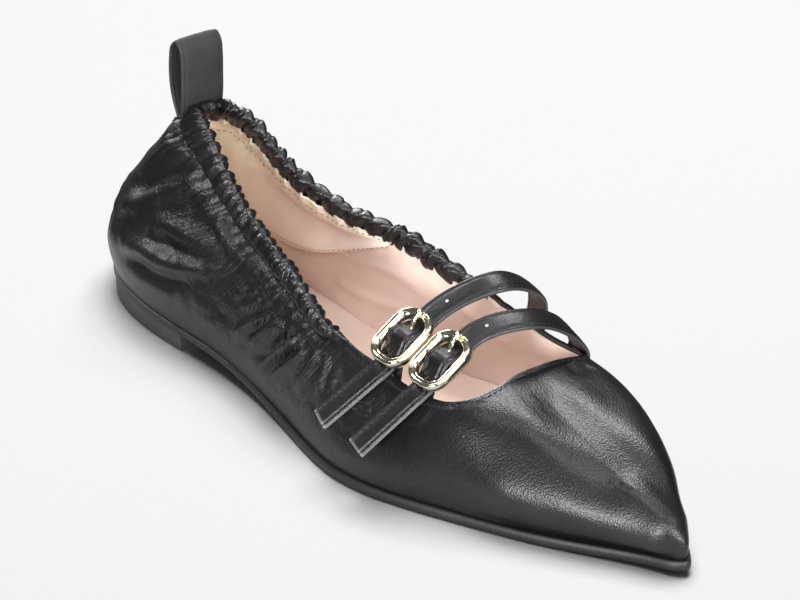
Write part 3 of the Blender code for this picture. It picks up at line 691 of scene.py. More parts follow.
def rod_rings(path, radius, sides):
    """Rings of a round bar along a path of points."""
    path = np.asarray(path, float)
    way = unit(np.gradient(path, axis=0))
    first = unit(np.cross(way, np.broadcast_to((1.0, 0.01, 0.02), way.shape)))
    second = np.cross(way, first)
    radius = np.broadcast_to(radius, len(path))[:, None]
    angles = np.arange(sides) / sides * 2 * math.pi
    return np.stack([path + radius * (first * math.cos(a) + second * math.sin(a)) for a in angles], 1)


# Materials
class Finish:
    """A socket in a material's tree: arithmetic on it adds Math nodes, and node() adds any other node."""

    def __init__(self, tree, socket):
        self.tree = tree
        self.socket = socket

    def node(self, kind, settings, inputs, output=0):
        made = self.tree.nodes.new(kind)
        for name, value in settings.items():
            if name == "stops":
                for element, (position, colour) in zip(made.color_ramp.elements, value):
                    element.position = position
                    element.color = colour
            else:
                setattr(made, name, value)
        for name, value in inputs.items():
            feed(self.tree, made.inputs[name], value)
        return Finish(self.tree, made.outputs[output])

    def math(self, operation, first, second):
        return self.node("ShaderNodeMath", {"operation": operation}, {0: first, 1: second})

    def __add__(self, other):
        return self.math("ADD", self, other)

    def __radd__(self, other):
        return self.math("ADD", other, self)

    def __sub__(self, other):
        return self.math("SUBTRACT", self, other)

    def __rsub__(self, other):
        return self.math("SUBTRACT", other, self)

    def __mul__(self, other):
        return self.math("MULTIPLY", self, other)

    def __rmul__(self, other):
        return self.math("MULTIPLY", other, self)

    def __pow__(self, other):
        return self.math("POWER", self, other)

    def noise(self, scale, detail, distortion=0.0):
        inputs = {"Vector": self, "Scale": scale, "Detail": detail, "Distortion": distortion}
        return self.node("ShaderNodeTexNoise", {}, inputs)

    def cells(self, scale, feature):
        inputs = {"Vector": self, "Scale": scale}
        return self.node("ShaderNodeTexVoronoi", {"feature": feature}, inputs, "Distance")

    def between(self, low, high):
        """A colour from low to high by this value; low may itself be a socket."""
        low = low if isinstance(low, Finish) else (*low, 1.0)
        return self.node("ShaderNodeMix", {"data_type": "RGBA"}, {0: self, 6: low, 7: (*high, 1.0)}, 2)

    def ridges(self):
        """Crests of height 1 where this noise passes its middle."""
        centred = self * 2 - 1
        return 1 - self.math("ABSOLUTE", centred, 0.0)

    def ramp(self, start, end):
        """This value brought to 0 at start and 1 at end."""
        inputs = {"Value": self, "From Min": start, "From Max": end}
        return self.node("ShaderNodeMapRange", {"interpolation_type": "SMOOTHSTEP"}, inputs)


def feed(tree, socket, value):
    if isinstance(value, Finish):
        tree.links.new(value.socket, socket)
    else:
        socket.default_value = value


def start_material(name):
    """A new material with its shader and its object coordinates."""
    material = bpy.data.materials.new(name)
    material.use_nodes = True
    tree = material.node_tree
    coordinates = tree.nodes.new("ShaderNodeTexCoord")
    return material, tree.nodes["Principled BSDF"], Finish(tree, coordinates.outputs["Object"])


def dress(shader, **values):
    """Sets or links the shader's sockets, named in words with underscores."""
    for name, value in values.items():
        feed(shader.id_data, shader.inputs[name.replace("_", " ").title().replace("Ior", "IOR")], value)


def bumped(height, strength, distance):
    inputs = {"Height": height, "Strength": strength, "Distance": distance}
    return height.node("ShaderNodeBump", {}, inputs)


def attribute(place, name):
    return place.node("ShaderNodeAttribute", {"attribute_name": name}, {}, "Fac")


# Pale grey painted on the strap edges: a painted highlight where the turned edges would catch the light.
PAINTED_EDGE_HIGHLIGHT = (0.15, 0.147, 0.144)


def soft_leather(name, dark, light, gloss, grain):
    """Black leather: pebble grain, fine crazing where it is crumpled, clouds in its sheen, and pale edges
    painted as a highlight.
    """
    material, shader, place = start_material(name)
    cloud = place.noise(38.0, 3.0)
    pebble = place.cells(2000.0, "SMOOTH_F1")
    dust = place.noise(2600.0, 2.0)
    craze = place.noise(230.0, 3.0, 0.5).ridges()
    crumple = attribute(place, "crumple")
    spot = {"X": attribute(place, "across") * 0.55, "Y": attribute(place, "down") * 0.07}
    pleat = place.node("ShaderNodeCombineXYZ", {}, spot).noise(1.0, 3.0, 0.25).ridges()
    height = pebble * (0.5 * grain) + dust * (0.2 * grain) + craze ** 4.0 * crumple
    height = height + pleat ** 3.0 * attribute(place, "pleat") * 3.6
    colour = cloud.ramp(0.35, 0.7).between(dark, light)
    dress(
        shader,
        # Where the edge attribute is set, the base colour goes pale grey as a painted highlight.
        base_color=attribute(place, "edge").between(colour, PAINTED_EDGE_HIGHLIGHT),
        roughness=cloud * 0.1 + (gloss - 0.05) + pebble * 0.08 + crumple * 0.08,
        specular_ior_level=0.5,
        specular_tint=(1.0, 0.965, 1.0, 1.0),
        normal=bumped(height, 0.6, 0.00025),
    )
    return material


def lining_leather(name, pale, deep, cream):
    """Lining: matt blush leather with soft clouds, fine pores and faint creases."""
    material, shader, place = start_material(name)
    cloud = place.noise(26.0, 4.0)
    pores = place.noise(1900.0, 2.0)
    crease = place.noise(60.0, 3.0, 1.2).ridges()
    colour = cloud.ramp(0.3, 0.75).between(deep, pale)
    if cream:
        colour = attribute(place, "cream").between(colour, cream)
    dress(
        shader,
        base_color=colour,
        roughness=pores * 0.15 + 0.55,
        normal=bumped(pores * 0.4 + crease ** 6.0 * 0.5, 0.35, 0.0003),
    )
    return material


def sole_stock(name, dark, light, rough):
    """Sole: matt dark stock with a fine sanded grain."""
    material, shader, place = start_material(name)
    cloud = place.noise(55.0, 4.0)
    sanded = place.noise(1400.0, 3.0)
    dress(
        shader,
        base_color=(cloud * 0.6 + sanded * 0.4).ramp(0.35, 0.65).between(dark, light),
        roughness=sanded * 0.18 + (rough - 0.09),
        normal=bumped(sanded, 0.4, 0.0002),
    )
    return material


def plated_metal(name, light, deep):
    """Pale gold plating with faint polishing marks."""
    material, shader, place = start_material(name)
    marks = place.noise(700.0, 3.0)
    cloud = place.noise(120.0, 2.0)
    dress(
        shader,
        base_color=cloud.ramp(0.3, 0.7).between(deep, light),
        metallic=1.0,
        roughness=marks * 0.1 + 0.09,
        normal=bumped(marks, 0.06, 0.0001),
    )
    return material


def woven_elastic(name, dark, light):
    """Ribbed elastic with a fine cross weave."""
    material, shader, place = start_material(name)
    weave = place.noise(2300.0, 2.0)
    rows = place.cells(1500.0, "F1")
    dress(
        shader,
        base_color=weave.ramp(0.3, 0.7).between(dark, light),
        roughness=weave * 0.1 + 0.72,
        normal=bumped(rows, 0.6, 0.0003),
    )
    return material


def sewing_thread(name, dark, light):
    """Waxed thread with a twist."""
    material, shader, place = start_material(name)
    twist = place.noise(3200.0, 1.0)
    dress(
        shader,
        base_color=twist.ramp(0.3, 0.7).between(dark, light),
        roughness=twist * 0.15 + 0.42,
        normal=bumped(twist, 0.4, 0.0001),
    )
    return material


def paper_floor(name):
    """Plain pale studio floor."""
    material, shader, place = start_material(name)
    cloud = place.noise(3.0, 2.0)
    dress(
        shader,
        base_color=cloud.between((0.81, 0.805, 0.808), (0.83, 0.826, 0.828)),
        roughness=cloud * 0.1 + 0.75,
        specular_ior_level=0.0,
    )
    return material


BLACK = soft_leather("black_nappa", (0.0035, 0.0035, 0.0044), (0.0075, 0.0074, 0.0084), 0.32, 1.0)
BINDING = soft_leather("gathered_nappa", (0.004, 0.004, 0.0048), (0.008, 0.0078, 0.0086), 0.27, 0.7)
STRAP = soft_leather("strap_leather", (0.004, 0.004, 0.0048), (0.008, 0.0078, 0.0086), 0.34, 0.7)
TAB = soft_leather("loop_leather", (0.014, 0.0138, 0.014), (0.024, 0.0235, 0.024), 0.62, 0.9)
BLUSH = lining_leather("blush_lining_leather", (0.82, 0.65, 0.575), (0.74, 0.56, 0.48), None)
CREAM = lining_leather("heel_lining_leather", (0.84, 0.68, 0.60), (0.78, 0.61, 0.52), (0.97, 0.88, 0.70))
SOCK = lining_leather("sock_leather", (0.82, 0.66, 0.58), (0.77, 0.60, 0.52), None)
SOLE = sole_stock("sole_stock_grey", (0.006, 0.006, 0.0066), (0.012, 0.0118, 0.0126), 0.5)
HEEL = sole_stock("heel_stock_grey", (0.020, 0.020, 0.021), (0.032, 0.0315, 0.033), 0.62)
GOLD = plated_metal("pale_gold_plating", (0.89, 0.85, 0.68), (0.84, 0.78, 0.58))
ELASTIC = woven_elastic("black_elastic_weave", (0.008, 0.0078, 0.0075), (0.022, 0.020, 0.018))
BLACK_THREAD = sewing_thread("black_thread", (0.008, 0.008, 0.009), (0.024, 0.024, 0.026))
PALE_THREAD = sewing_thread("lining_thread", (0.34, 0.23, 0.15), (0.46, 0.33, 0.22))


# The upper and its linings
def add_upper():
    """The outer leather with all its folds, from the sole up to the band."""
    def detail(place):
        return np.where(np.abs(place) < 7.4, 1.0, 0.55)

    places = even_places(-TOE, TOE, UPPER_RIBS + 1, detail)[:-1]
    tops = level_below(places, np.where(banded(places), band_edge(places) - 1.6, 0.0))
    share = np.linspace(0, 1, UPPER_ROWS)
    levels = tops[:, None] * share[None, :]
    place = np.repeat(places[:, None], len(share), axis=1)
    outer, normal = leather_face(place, levels)
    inner = outer - normal * LEATHER
    rise = unit(outer[:, -1] - outer[:, -2])
    rim = (outer[:, -1] + inner[:, -1]) / 2 + rise * 0.4
    inward = unit(inner[:, 0] - outer[:, 0])
    tuck = outer[:, 0] + inward * 1.6 - (0.0, 0.0, 0.3)
    outer = np.concatenate([outer, rim[:, None]], 1)
    inner = np.concatenate([tuck[:, None], inner], 1)
    points, faces = shell(outer, inner, True)
    obj = add_piece("upper_leather", points, faces, BLACK, 75.0)
    marks = (crumple_of(place, levels), *pleats(place, levels))
    for name, values in zip(("crumple", "across", "down", "pleat"), marks):
        set_attribute(obj, name, np.concatenate([values, values[:, -1:], values[:, ::-1], values[:, :1]], 1))
    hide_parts("upper")


def add_side_lining():
    """The lining of the sides, which lies calmer than the leather."""
    places = np.linspace(-TOE, TOE, LINING_RIBS + 1)[:-1]
    tops = level_below(places, np.where(banded(places), band_edge(places) - 2.0, 1.5))
    behind = np.interp(np.abs(places), *np.array(HEEL_LINING_ROWS).T) + 0.15
    tops = np.where(np.abs(places) < HEEL_LINING_END, np.minimum(tops, behind), tops)
    share = np.linspace(0, 1, LINING_ROWS)
    levels = 0.02 + (tops[:, None] - 0.02) * share[None, :]
    place = np.repeat(places[:, None], len(share), axis=1)
    normal = skin_normal(place, levels)
    creases = np.minimum(fold_relief(place, levels, LINING_FOLDS), 0.0)
    rough = relief(place, levels) * smooth(levels / 0.2)
    calm = calmed(rough, 4, "wrap")
    calm = calm + (rough - calm) * smooth((share - 0.8) / 0.2) + creases
    base = skin(place, levels) + normal * calm[..., None]
    outer, inner = base - normal * (LEATHER + 0.15), base - normal * (WALL + 0.1)
    points, faces = shell(outer, inner, True)
    add_piece("side_lining", points, faces, BLUSH, 75.0)


def heel_lining_grid():
    """Places, levels and shares of the height on the heel lining."""
    places = np.linspace(-HEEL_LINING_END, HEEL_LINING_END, HEEL_LINING_RIBS)
    low = np.interp(np.abs(places), *np.array(HEEL_LINING_ROWS).T)
    tops = level_below(places, band_edge(places) - 2.0)
    share = np.linspace(0, 1, HEEL_LINING_LINES)
    levels = low[:, None] + (np.maximum(tops, low + 0.01) - low)[:, None] * share[None, :]
    return np.repeat(places[:, None], len(share), axis=1), levels, share


def add_heel_lining():
    """The lining round the heel, loose at its lower edge; returns its stitch rows."""
    place, levels, share = heel_lining_grid()
    normal = skin_normal(place, levels)
    rough = relief(place, levels)
    calm = calmed(rough, 3, "edge")
    calm = calm + (rough - calm) * smooth((share - 0.7) / 0.3)
    slack = 1.0 + 4.0 * smooth((np.abs(place) - 1.5) / 1.6) * smooth((HEEL_LINING_END - np.abs(place)) / 1.2)
    loose = slack * (1 - smooth((share - 0.05) / 0.6))[None, :]
    depth = WALL + 0.35 + loose - calm
    outer = skin(place, levels) - normal * depth[..., None]
    inner = outer - normal * HEEL_LINING
    points, faces = shell(outer, inner, False)
    obj = add_piece("heel_lining", points, faces, CREAM, 75.0)
    back = 1 - smooth((np.abs(place) - 2.2) / 2.2)
    top = smooth((share[None, :] - 0.7) / 0.2)
    cream = np.maximum(back * (0.6 + 0.4 * share[None, :]), 0.7 * top)
    set_attribute(obj, "cream", np.concatenate([cream, cream[:, ::-1]], 1))
    face = inner - normal * 0.08
    return face[:, 2], face[:, -5]


# The gathered band
def add_collar():
    """The band along the top edge, gathered over its elastic."""
    at = np.linspace(0, COLLAR_RUN[-1], COLLAR_RINGS)
    places = np.interp(at, COLLAR_RUN, COLLAR_PLACES)
    phase = np.interp(at, PUCKER_RUN, np.arange(len(PUCKER_RUN)))
    ends = smooth(at / 16) * smooth((COLLAR_RUN[-1] - at) / 9)
    tall = band_height(places)
    middle = level_below(places, tall / 2)
    normal = skin_normal(places, middle)
    rise = unit(skin(places, np.minimum(middle + 0.02, 1.0)) - skin(places, middle - 0.02))
    centre = skin(places, middle) - normal * WALL / 2
    thick = WALL + 0.6 + (BAND_WIDTH - WALL - 0.6) * ends
    slant = np.where(places > 0, -0.25, 0.25) * smooth((np.abs(places) - 0.6) / 1.5)
    slant = slant + np.where(places > 0, 0.3, 0.7) * np.interp(at, PUCKER_RUN, PUCKER_SLANT)
    curl = 0.3 * smooth((-places - 0.6) / 1.5)
    crest = 0.75 + 0.35 * smooth((places + 0.5) / 2.0)
    swing = np.interp(at, PUCKER_RUN, 8.0 * (PUCKER_CREASE - 0.5)) * ends
    centre = centre + normal * (0.3 * swing)[:, None] - rise * (0.35 * np.abs(swing))[:, None]
    rings = []
    across = []
    for angle in np.arange(COLLAR_SIDES) / COLLAR_SIDES * 2 * math.pi:
        up = math.copysign(abs(math.sin(angle)) ** 0.7, math.sin(angle))
        out = math.copysign(abs(math.cos(angle)) ** 0.7, math.cos(angle))
        turned = np.clip(phase + slant * up + curl * up * up, 0, len(PUCKER_RUN) - 1.001)
        which = turned.astype(int)
        across.append(at + 0.8 * slant * up)
        strength = PUCKER_STRENGTH[which]
        crease = bell(turned - which, PUCKER_CREASE[which] + 0.12 * up, 0.09)
        bulge = np.abs(np.sin(math.pi * turned)) ** crest * (0.45 + 0.55 * strength)
        lump = (bulge - 0.3 * crease * (strength > 0.6)) * ends + 0.6 * (1 - ends)
        free = 0.35 + 0.65 * smooth((up + 1.0) / 0.6)
        half_thick = thick / 2 * (0.52 + 0.78 * lump * free)
        scallop = 1.5 if up > 0 else 1.3 * (out < 0.2)
        half_tall = tall / 2 + scallop * (lump - 0.55) * ends
        rings.append(centre + rise * (half_tall * up)[:, None] + normal * (half_thick * out)[:, None])
    points, faces = sweep(np.stack(rings, 1), False)
    obj = add_piece("collar_gather", points, faces, BINDING, 80.0)
    set_attribute(obj, "crumple", np.full(len(points), 0.5))
    set_attribute(obj, "across", np.stack(across, 1) * 1.5)
    set_attribute(obj, "pleat", np.full(len(points), 0.14))
    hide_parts("collar_binding")


# Straps and buckles
def buckle_frame(strap):
    """Middle of a buckle, with the directions along the strap, across it and out of it."""
    along = unit(np.array(BUCKLE_SLOPE))
    level = np.array((1.0, 0.0, -BUCKLE_TILT))
    across = unit(level - (level @ along) * along)
    return np.array(strap["buckle"]), along, across, np.cross(along, across)


def strap_path(strap):
    """Keys along a strap, each with the way it faces: up the medial side, over, through the buckle, down."""
    lift = GAP + 0.1 + STRAP_THICK / 2
    medial = np.linspace(0.04, 0.94, 8)
    foot = place_of(strap["medial_foot"], MEDIAL, False)
    top = place_of(strap["medial_top"], MEDIAL, True)
    places = foot + (top - foot) * medial
    facing = skin_normal(places, medial)
    keys = [np.concatenate([skin(places, medial) + facing * lift, facing], 1)]
    centre, along, _, out = buckle_frame(strap)
    under = -(FRAME_TALL / 2 + GAP + STRAP_THICK / 2)
    over = -BAR_DROP + BAR_RADIUS + GAP + STRAP_THICK / 2
    entry = centre - along * BUCKLE_LENGTH / 2 + out * under
    for point, before, after in (
        (strap["shoulder"], keys[0][-1, :3], strap["crest"]),
        (strap["crest"], strap["shoulder"], entry),
    ):
        way = unit(np.array(after) - np.array(before))
        up = np.array((STRAP_TILT, 0.0, 1.0))
        keys.append(np.concatenate([point, unit(up - (up @ way) * way)])[None])
    ends = BUCKLE_LENGTH / 2 + 0.5
    for step in (-ends, -HUMP_REACH, -HUMP_REACH / 2, 0.0, HUMP_REACH / 2, HUMP_REACH, ends):
        hump = (1 + math.cos(math.pi * min(abs(step) / HUMP_REACH, 1.0))) / 2
        point = centre + along * step + out * (under + (over - under) * hump)
        keys.append(np.concatenate([point, out])[None])
    leave = keys[-1][0, :3]
    for share in (0.2, 0.4, 0.6, 0.8, 1.0):
        point = leave + (np.array(strap["tail"]) - leave) * share
        place, level = lateral_wall(point)
        facing = unit(out + (skin_normal(place, level) - out) * share)
        touch = skin(place, level) + skin_normal(place, level) * lift
        point[1] = min(point[1], touch[1])
        keys.append(np.concatenate([point, facing])[None])
    return np.concatenate(keys)


def add_strap_hole(name, path, past):
    """The punched hole beside the buckle, through which the pale lining shows."""
    at = np.argmin(np.abs(past[:30 + len(path) // 2] + BUCKLE_LENGTH / 2 + HOLE_REACH))
    centre, _, facing = strip_frame(path)
    stem = centre[at] + facing[at] * np.linspace(STRAP_THICK / 2 - 0.3, STRAP_THICK / 2 + 0.26, 4)[:, None]
    points, faces = sweep(rod_rings(stem, np.array((0.6, 0.6, 0.6, 0.4)), 12), False)
    add_piece("strap_hole_" + name, points, faces, SOCK)


def add_strap(strap):
    """One strap; returns its stitch rows."""
    path = through(strap_path(strap), 1.1)
    middle, along, _, _ = buckle_frame(strap)
    past = (path[:, :3] - middle) @ along
    width = STRAP_WIDTH + (TAIL_WIDTH - STRAP_WIDTH) * smooth(past / 14)
    points, faces = sweep(strip_rings(path, width, STRAP_THICK, 0.2), False)
    name = strap["name"]
    obj = add_piece("strap_" + name + "_leather", points, faces, STRAP, 60.0)
    set_attribute(obj, "crumple", np.full(len(points), 0.25))
    # Painted highlight along the strap's edges: faint before the buckle, full along the tail and on its cut
    # end.
    edge_highlight_share = 0.25 + 0.75 * smooth((past - 8) / 6)
    edge = edge_highlight_share[:, None] * smooth((np.abs(STRIP_SHARES) - 0.9) / 0.08)[None, :]
    edge[-1] = 1.0
    set_attribute(obj, "edge", edge)
    add_strap_hole(name, path, past)
    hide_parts("strap_" + name)
    centre, across, facing = strip_frame(path)
    off = (width / 2 - STITCH_INSET)[:, None]
    return [centre + across * off * side + facing * (STRAP_THICK / 2 - 0.12) for side in (-1, 1)]


def add_buckle(strap):
    """A rounded frame with a bar across its middle."""
    centre, along, across, out = buckle_frame(strap)
    long_half = (BUCKLE_LENGTH - FRAME_WIDE) / 2
    wide_half = (BUCKLE_WIDTH - FRAME_WIDE) / 2
    corner = BUCKLE_CORNER - FRAME_WIDE / 2
    profile = np.array(FRAME_SECTION) * (FRAME_WIDE / 2, FRAME_TALL / 2)
    rings = []
    for quarter, (x_sign, y_sign) in enumerate(((1, 1), (-1, 1), (-1, -1), (1, -1))):
        for turn in np.linspace(0, math.pi / 2, 25):
            angle = quarter * math.pi / 2 + turn
            way = np.cos(angle) * along + np.sin(angle) * across
            middle = centre + along * x_sign * (long_half - corner) + across * y_sign * (wide_half - corner)
            rings.append([middle + way * (corner + wide) + out * tall for wide, tall in profile])
    points, faces = sweep(np.array(rings), True)
    name = strap["name"]
    frame_piece = add_piece("buckle_" + name + "_frame", points, faces, GOLD, 70.0)
    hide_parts("buckle_" + name)
    ends = [centre - out * BAR_DROP + across * wide_half * side for side in np.linspace(-1, 1, 9)]
    points, faces = sweep(rod_rings(ends, BAR_RADIUS, 16), False)
    add_piece("buckle_" + name + "_bar", points, faces, GOLD)


def add_prong(strap):
    """The prong: from the bar, up through the strap's hole and onto the frame's medial end."""
    centre, along, _, out = buckle_frame(strap)
    start = centre - along * 1.8 - out * BAR_DROP
    rest = centre - along * (BUCKLE_LENGTH / 2 - FRAME_WIDE / 2) + out * (FRAME_TALL / 2 + GAP + PRONG_RADIUS)
    share = np.linspace(0, 1, 17)
    bow = np.interp(share, (0.0, 0.3, 0.6, 0.85, 1.0), (0.0, -0.6, 0.0, 0.3, 0.0))
    line = start + (rest - start) * share[:, None] + out * bow[:, None]
    tip = rest - along * np.array((0.3, 0.6, 0.85, 0.95))[:, None]
    radius = PRONG_RADIUS * np.concatenate([np.ones(17), (0.97, 0.85, 0.55, 0.2)])
    points, faces = sweep(rod_rings(np.concatenate([line, tip]), radius, 16), False)
    name = strap["name"]
    obj = add_piece("prong_" + name + "_pin", points, faces, GOLD)
    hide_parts("prong_" + name)


def add_chape(strap):
    """Ribbed elastic from under the buckle's bar down the inside of the lateral wall."""
    centre, along, _, out = buckle_frame(strap)
    top = place_of(strap["chape_top"], LATERAL, True)
    levels = np.array([0.95, 0.84, 0.72, 0.6])
    facing = skin_normal(np.full(4, top), levels)
    inside = skin(np.full(4, top), levels) - facing * (WALL + 0.8 + CHAPE_THICK / 2)
    start = centre - out * (BAR_DROP + BAR_RADIUS + GAP + 0.1 + CHAPE_THICK / 2)
    bar_keys = [np.concatenate([start + along * step, out]) for step in (-1.5, 1.5)]
    path = through(np.concatenate([bar_keys, np.concatenate([inside, facing], 1)]), 1.0)
    points, faces = sweep(strip_rings(path, CHAPE_WIDTH, CHAPE_THICK, 0.0, 6), False)
    name = strap["name"]
    obj = add_piece("elastic_" + name, points, faces, ELASTIC, 60.0)
    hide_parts("chape_" + name)


# Loop and back strip
def add_loop():
    """The finger loop on the back of the collar."""
    side_view = np.array([(station, 0.0, height) for station, height in LOOP_ROWS])
    path = through(side_view, 0.9)
    way = unit(np.gradient(path, axis=0))
    facing = np.cross(np.broadcast_to((0.0, 1.0, 0.0), way.shape), way)
    path = np.concatenate([path, facing], 1)
    points, faces = sweep(strip_rings(path, LOOP_WIDTH, LOOP_THICK, 0.12), False)
    obj = add_piece("heel_loop", points, faces, TAB, 60.0)
    set_attribute(obj, "crumple", np.full(len(points), 0.2))
    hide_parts("pull_loop")


def add_back_strip():
    """The strip over the back seam; returns its stitch rows."""
    top = level_below(np.array([0.0]), band_edge(np.array([0.0])) - 0.5)[0]
    level_row = np.linspace(0.01, top, 60)
    wide = np.linspace(-2.2, 2.2, 89)
    share = np.linspace(-0.5, 0.5, 17)
    lines = skin(wide[None, :], level_row[:, None])
    steps = np.linalg.norm(np.diff(lines, axis=1), axis=2)
    run = np.concatenate([np.zeros((len(level_row), 1)), np.cumsum(steps, axis=1)], 1)
    middle = len(wide) // 2
    run = run - run[:, middle:middle + 1]
    place = np.stack([np.interp(share * BACKSTAY_WIDTH, row, wide) for row in run], 1)
    levels = np.broadcast_to(level_row, place.shape)
    base, normal = leather_face(place, levels)
    body = (1 - np.abs(share * 2) ** 8)[:, None] * (0.25 + 0.75 * smooth(level_row / 0.3))[None, :]
    outer = base + normal * (0.05 + (BACKSTAY_THICK - 0.1) * body)[..., None]
    inner = base - normal * 0.2
    points, faces = shell(inner.transpose(1, 0, 2), outer.transpose(1, 0, 2), False)
    obj = add_piece("back_strip", points, faces, BLACK, 60.0)
    set_attribute(obj, "crumple", np.full(len(points), 0.45))
    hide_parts("backstay")
    return [(outer + normal * STITCH_LIFT)[row] for row in (2, -3)]


# Sole, heel and insole
def add_outsole():
    """The thin sole with its rounded side."""
    places = np.linspace(0, ROUND, 601)[:-1]
    layers = []
    for inset, share in OUTSOLE_SIDE:
        plan = outline(places, np.full(len(places), inset))
        low = sole_rise(plan[:, 0])
        layers.append(np.column_stack([plan, low + (sole_top(plan[:, 0]) - low) * share]))
    points, faces = plate(layers)
    obj = add_piece("outsole_edge", points, faces, SOLE, 40.0)
    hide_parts("outsole")


def add_heel():
    """The low heel block: the back of the sole's own outline, cut straight across at the breast."""
    breast = place_of(HEEL_LENGTH - 0.6, LATERAL, False)
    across = place_of(HEEL_LENGTH - 0.6, MEDIAL, False)
    places = np.concatenate([[0.0], np.linspace(0, breast, 61)[1:], np.linspace(across, 0, 61)[:-1]])
    layers = []
    for inset, share in HEEL_SIDE:
        plan = outline(places, np.full(len(places), inset))
        layers.append(np.column_stack([plan, (sole_rise(plan[:, 0]) + 0.05) * share]))
    points, faces = plate(layers)
    obj = add_piece("heel_block", points, faces, HEEL, 40.0)
    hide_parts("heel")


def add_sock():
    """The sock on the board inside: slightly dished, with a soft edge."""
    side = np.linspace(0, TOE - 1.3, 161)[1:]
    rows = []
    share = np.sin(np.linspace(-math.pi / 2, math.pi / 2, 31))
    inset = feather_inset(sections(side)[:, 0]) + WALL + 0.3
    lateral = outline(side, inset)
    medial = outline(-side, inset)
    for x in share:
        plan = lateral + (medial - lateral) * (x + 1) / 2
        floor = sole_top(plan[:, 0]) + GAP
        seat = -0.9 * (1 - smooth((plan[:, 0] - 30) / 60)) * (1 - x * x)
        arch = 1.6 * bell(x, 0.85, 0.5) * bell(plan[:, 0], 95, 35)
        rows.append(np.column_stack([plan, floor + INSOLE * (1 - abs(x) ** 30 * 0.35) + seat + arch]))
    top = np.stack(rows, 1)
    bottom = top.copy()
    bottom[..., 2] = sole_top(top[..., 0]) + 0.1
    points, faces = shell(top, bottom, False)
    obj = add_piece("sock", points, faces, SOCK, 50.0)
    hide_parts("insole")


# Stitches
def stitch_tree():
    """A tree that sets stitches along the edges it is given."""
    tree = bpy.data.node_groups.new("stitch_rows", "GeometryNodeTree")
    for name, way, kind in (
        ("Rows", "INPUT", "Geometry"), ("Pitch", "INPUT", "Float"), ("Length", "INPUT", "Float"),
        ("Thickness", "INPUT", "Float"), ("Thread", "INPUT", "Material"), ("Stitches", "OUTPUT", "Geometry"),
    ):
        tree.interface.new_socket(name, in_out=way, socket_type="NodeSocket" + kind)
    start = tree.nodes.new("NodeGroupInput")
    end = tree.nodes.new("NodeGroupOutput")
    curve = tree.nodes.new("GeometryNodeMeshToCurve")
    spots = tree.nodes.new("GeometryNodeCurveToPoints")
    spots.mode = "LENGTH"
    turn = tree.nodes.new("FunctionNodeAlignRotationToVector")
    turn.axis = "X"
    bead = tree.nodes.new("GeometryNodeMeshUVSphere")
    bead.inputs["Segments"].default_value = 8
    bead.inputs["Rings"].default_value = 6
    bead.inputs["Radius"].default_value = 0.5
    size = tree.nodes.new("ShaderNodeCombineXYZ")
    copies = tree.nodes.new("GeometryNodeInstanceOnPoints")
    whole = tree.nodes.new("GeometryNodeRealizeInstances")
    finish = tree.nodes.new("GeometryNodeSetMaterial")
    for source, target in (
        (start.outputs["Rows"], curve.inputs["Mesh"]),
        (curve.outputs["Curve"], spots.inputs["Curve"]),
        (start.outputs["Pitch"], spots.inputs["Length"]),
        (spots.outputs["Tangent"], turn.inputs["Vector"]),
        (start.outputs["Length"], size.inputs["X"]),
        (start.outputs["Thickness"], size.inputs["Y"]),
        (start.outputs["Thickness"], size.inputs["Z"]),
        (spots.outputs["Points"], copies.inputs["Points"]),
        (bead.outputs["Mesh"], copies.inputs["Instance"]),
        (turn.outputs["Rotation"], copies.inputs["Rotation"]),
        (size.outputs["Vector"], copies.inputs["Scale"]),
        (copies.outputs["Instances"], whole.inputs["Geometry"]),
        (whole.outputs["Geometry"], finish.inputs["Geometry"]),
        (start.outputs["Thread"], finish.inputs["Material"]),
        (finish.outputs["Geometry"], end.inputs["Stitches"]),
    ):
        tree.links.new(source, target)
    return tree


STITCHES = stitch_tree()


def add_stitches(name, rows, pitch, length, thickness, thread):
    """Stitches along rows of points in millimetres."""
    points = np.concatenate(rows)
    edges = []
    start = 0
    for row in rows:
        edges += [(start + index, start + index + 1) for index in range(len(row) - 1)]
        start += len(row)
    mesh = bpy.data.meshes.new(name + "_rows")
    mesh.from_pydata(((points - (HEEL_CENTRE, 0.0, 0.0)) * MM).tolist(), edges, [])
    guide = bpy.data.objects.new(name + "_rows", mesh)
    bpy.context.scene.collection.objects.link(guide)
    modifier = guide.modifiers.new("stitches", "NODES")
    modifier.node_group = STITCHES
    values = {"Pitch": pitch * MM, "Length": length * MM, "Thickness": thickness * MM, "Thread": thread}
    for item in STITCHES.interface.items_tree:
        if item.in_out == "INPUT" and item.name in values:
            modifier[item.identifier] = values[item.name]
    evaluated = guide.evaluated_get(bpy.context.evaluated_depsgraph_get())
    made = bpy.data.meshes.new_from_object(evaluated)
    made.shade_smooth()
    bpy.data.objects.remove(guide)
    obj = bpy.data.objects.new(name, made)
    bpy.context.scene.collection.objects.link(obj)
    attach(obj, "root")


def leather_row(places, levels):
    """Points of a stitch row that lies on the leather."""
    place = np.repeat(places[:, None], 2, axis=1)
    face, normal = leather_face(place, np.stack([levels - 0.004, levels], 1))
    return (face + normal * STITCH_LIFT)[:, 1]


def throat_row():
    """The edge stitching round the throat, from the end of the gathers on one side to the other."""
    places = np.linspace(BAND_LATERAL + 0.1, ROUND + BAND_MEDIAL - 0.1, 500)
    signed = np.where(places > TOE, places - ROUND, places)
    return leather_row(signed, level_below(signed, 1.7))


def seam_row():
    """The seam under the band at the back of the heel."""
    places = np.linspace(-2.6, 2.9, 160)
    return leather_row(places, level_below(places, band_edge(places) + 1.1))


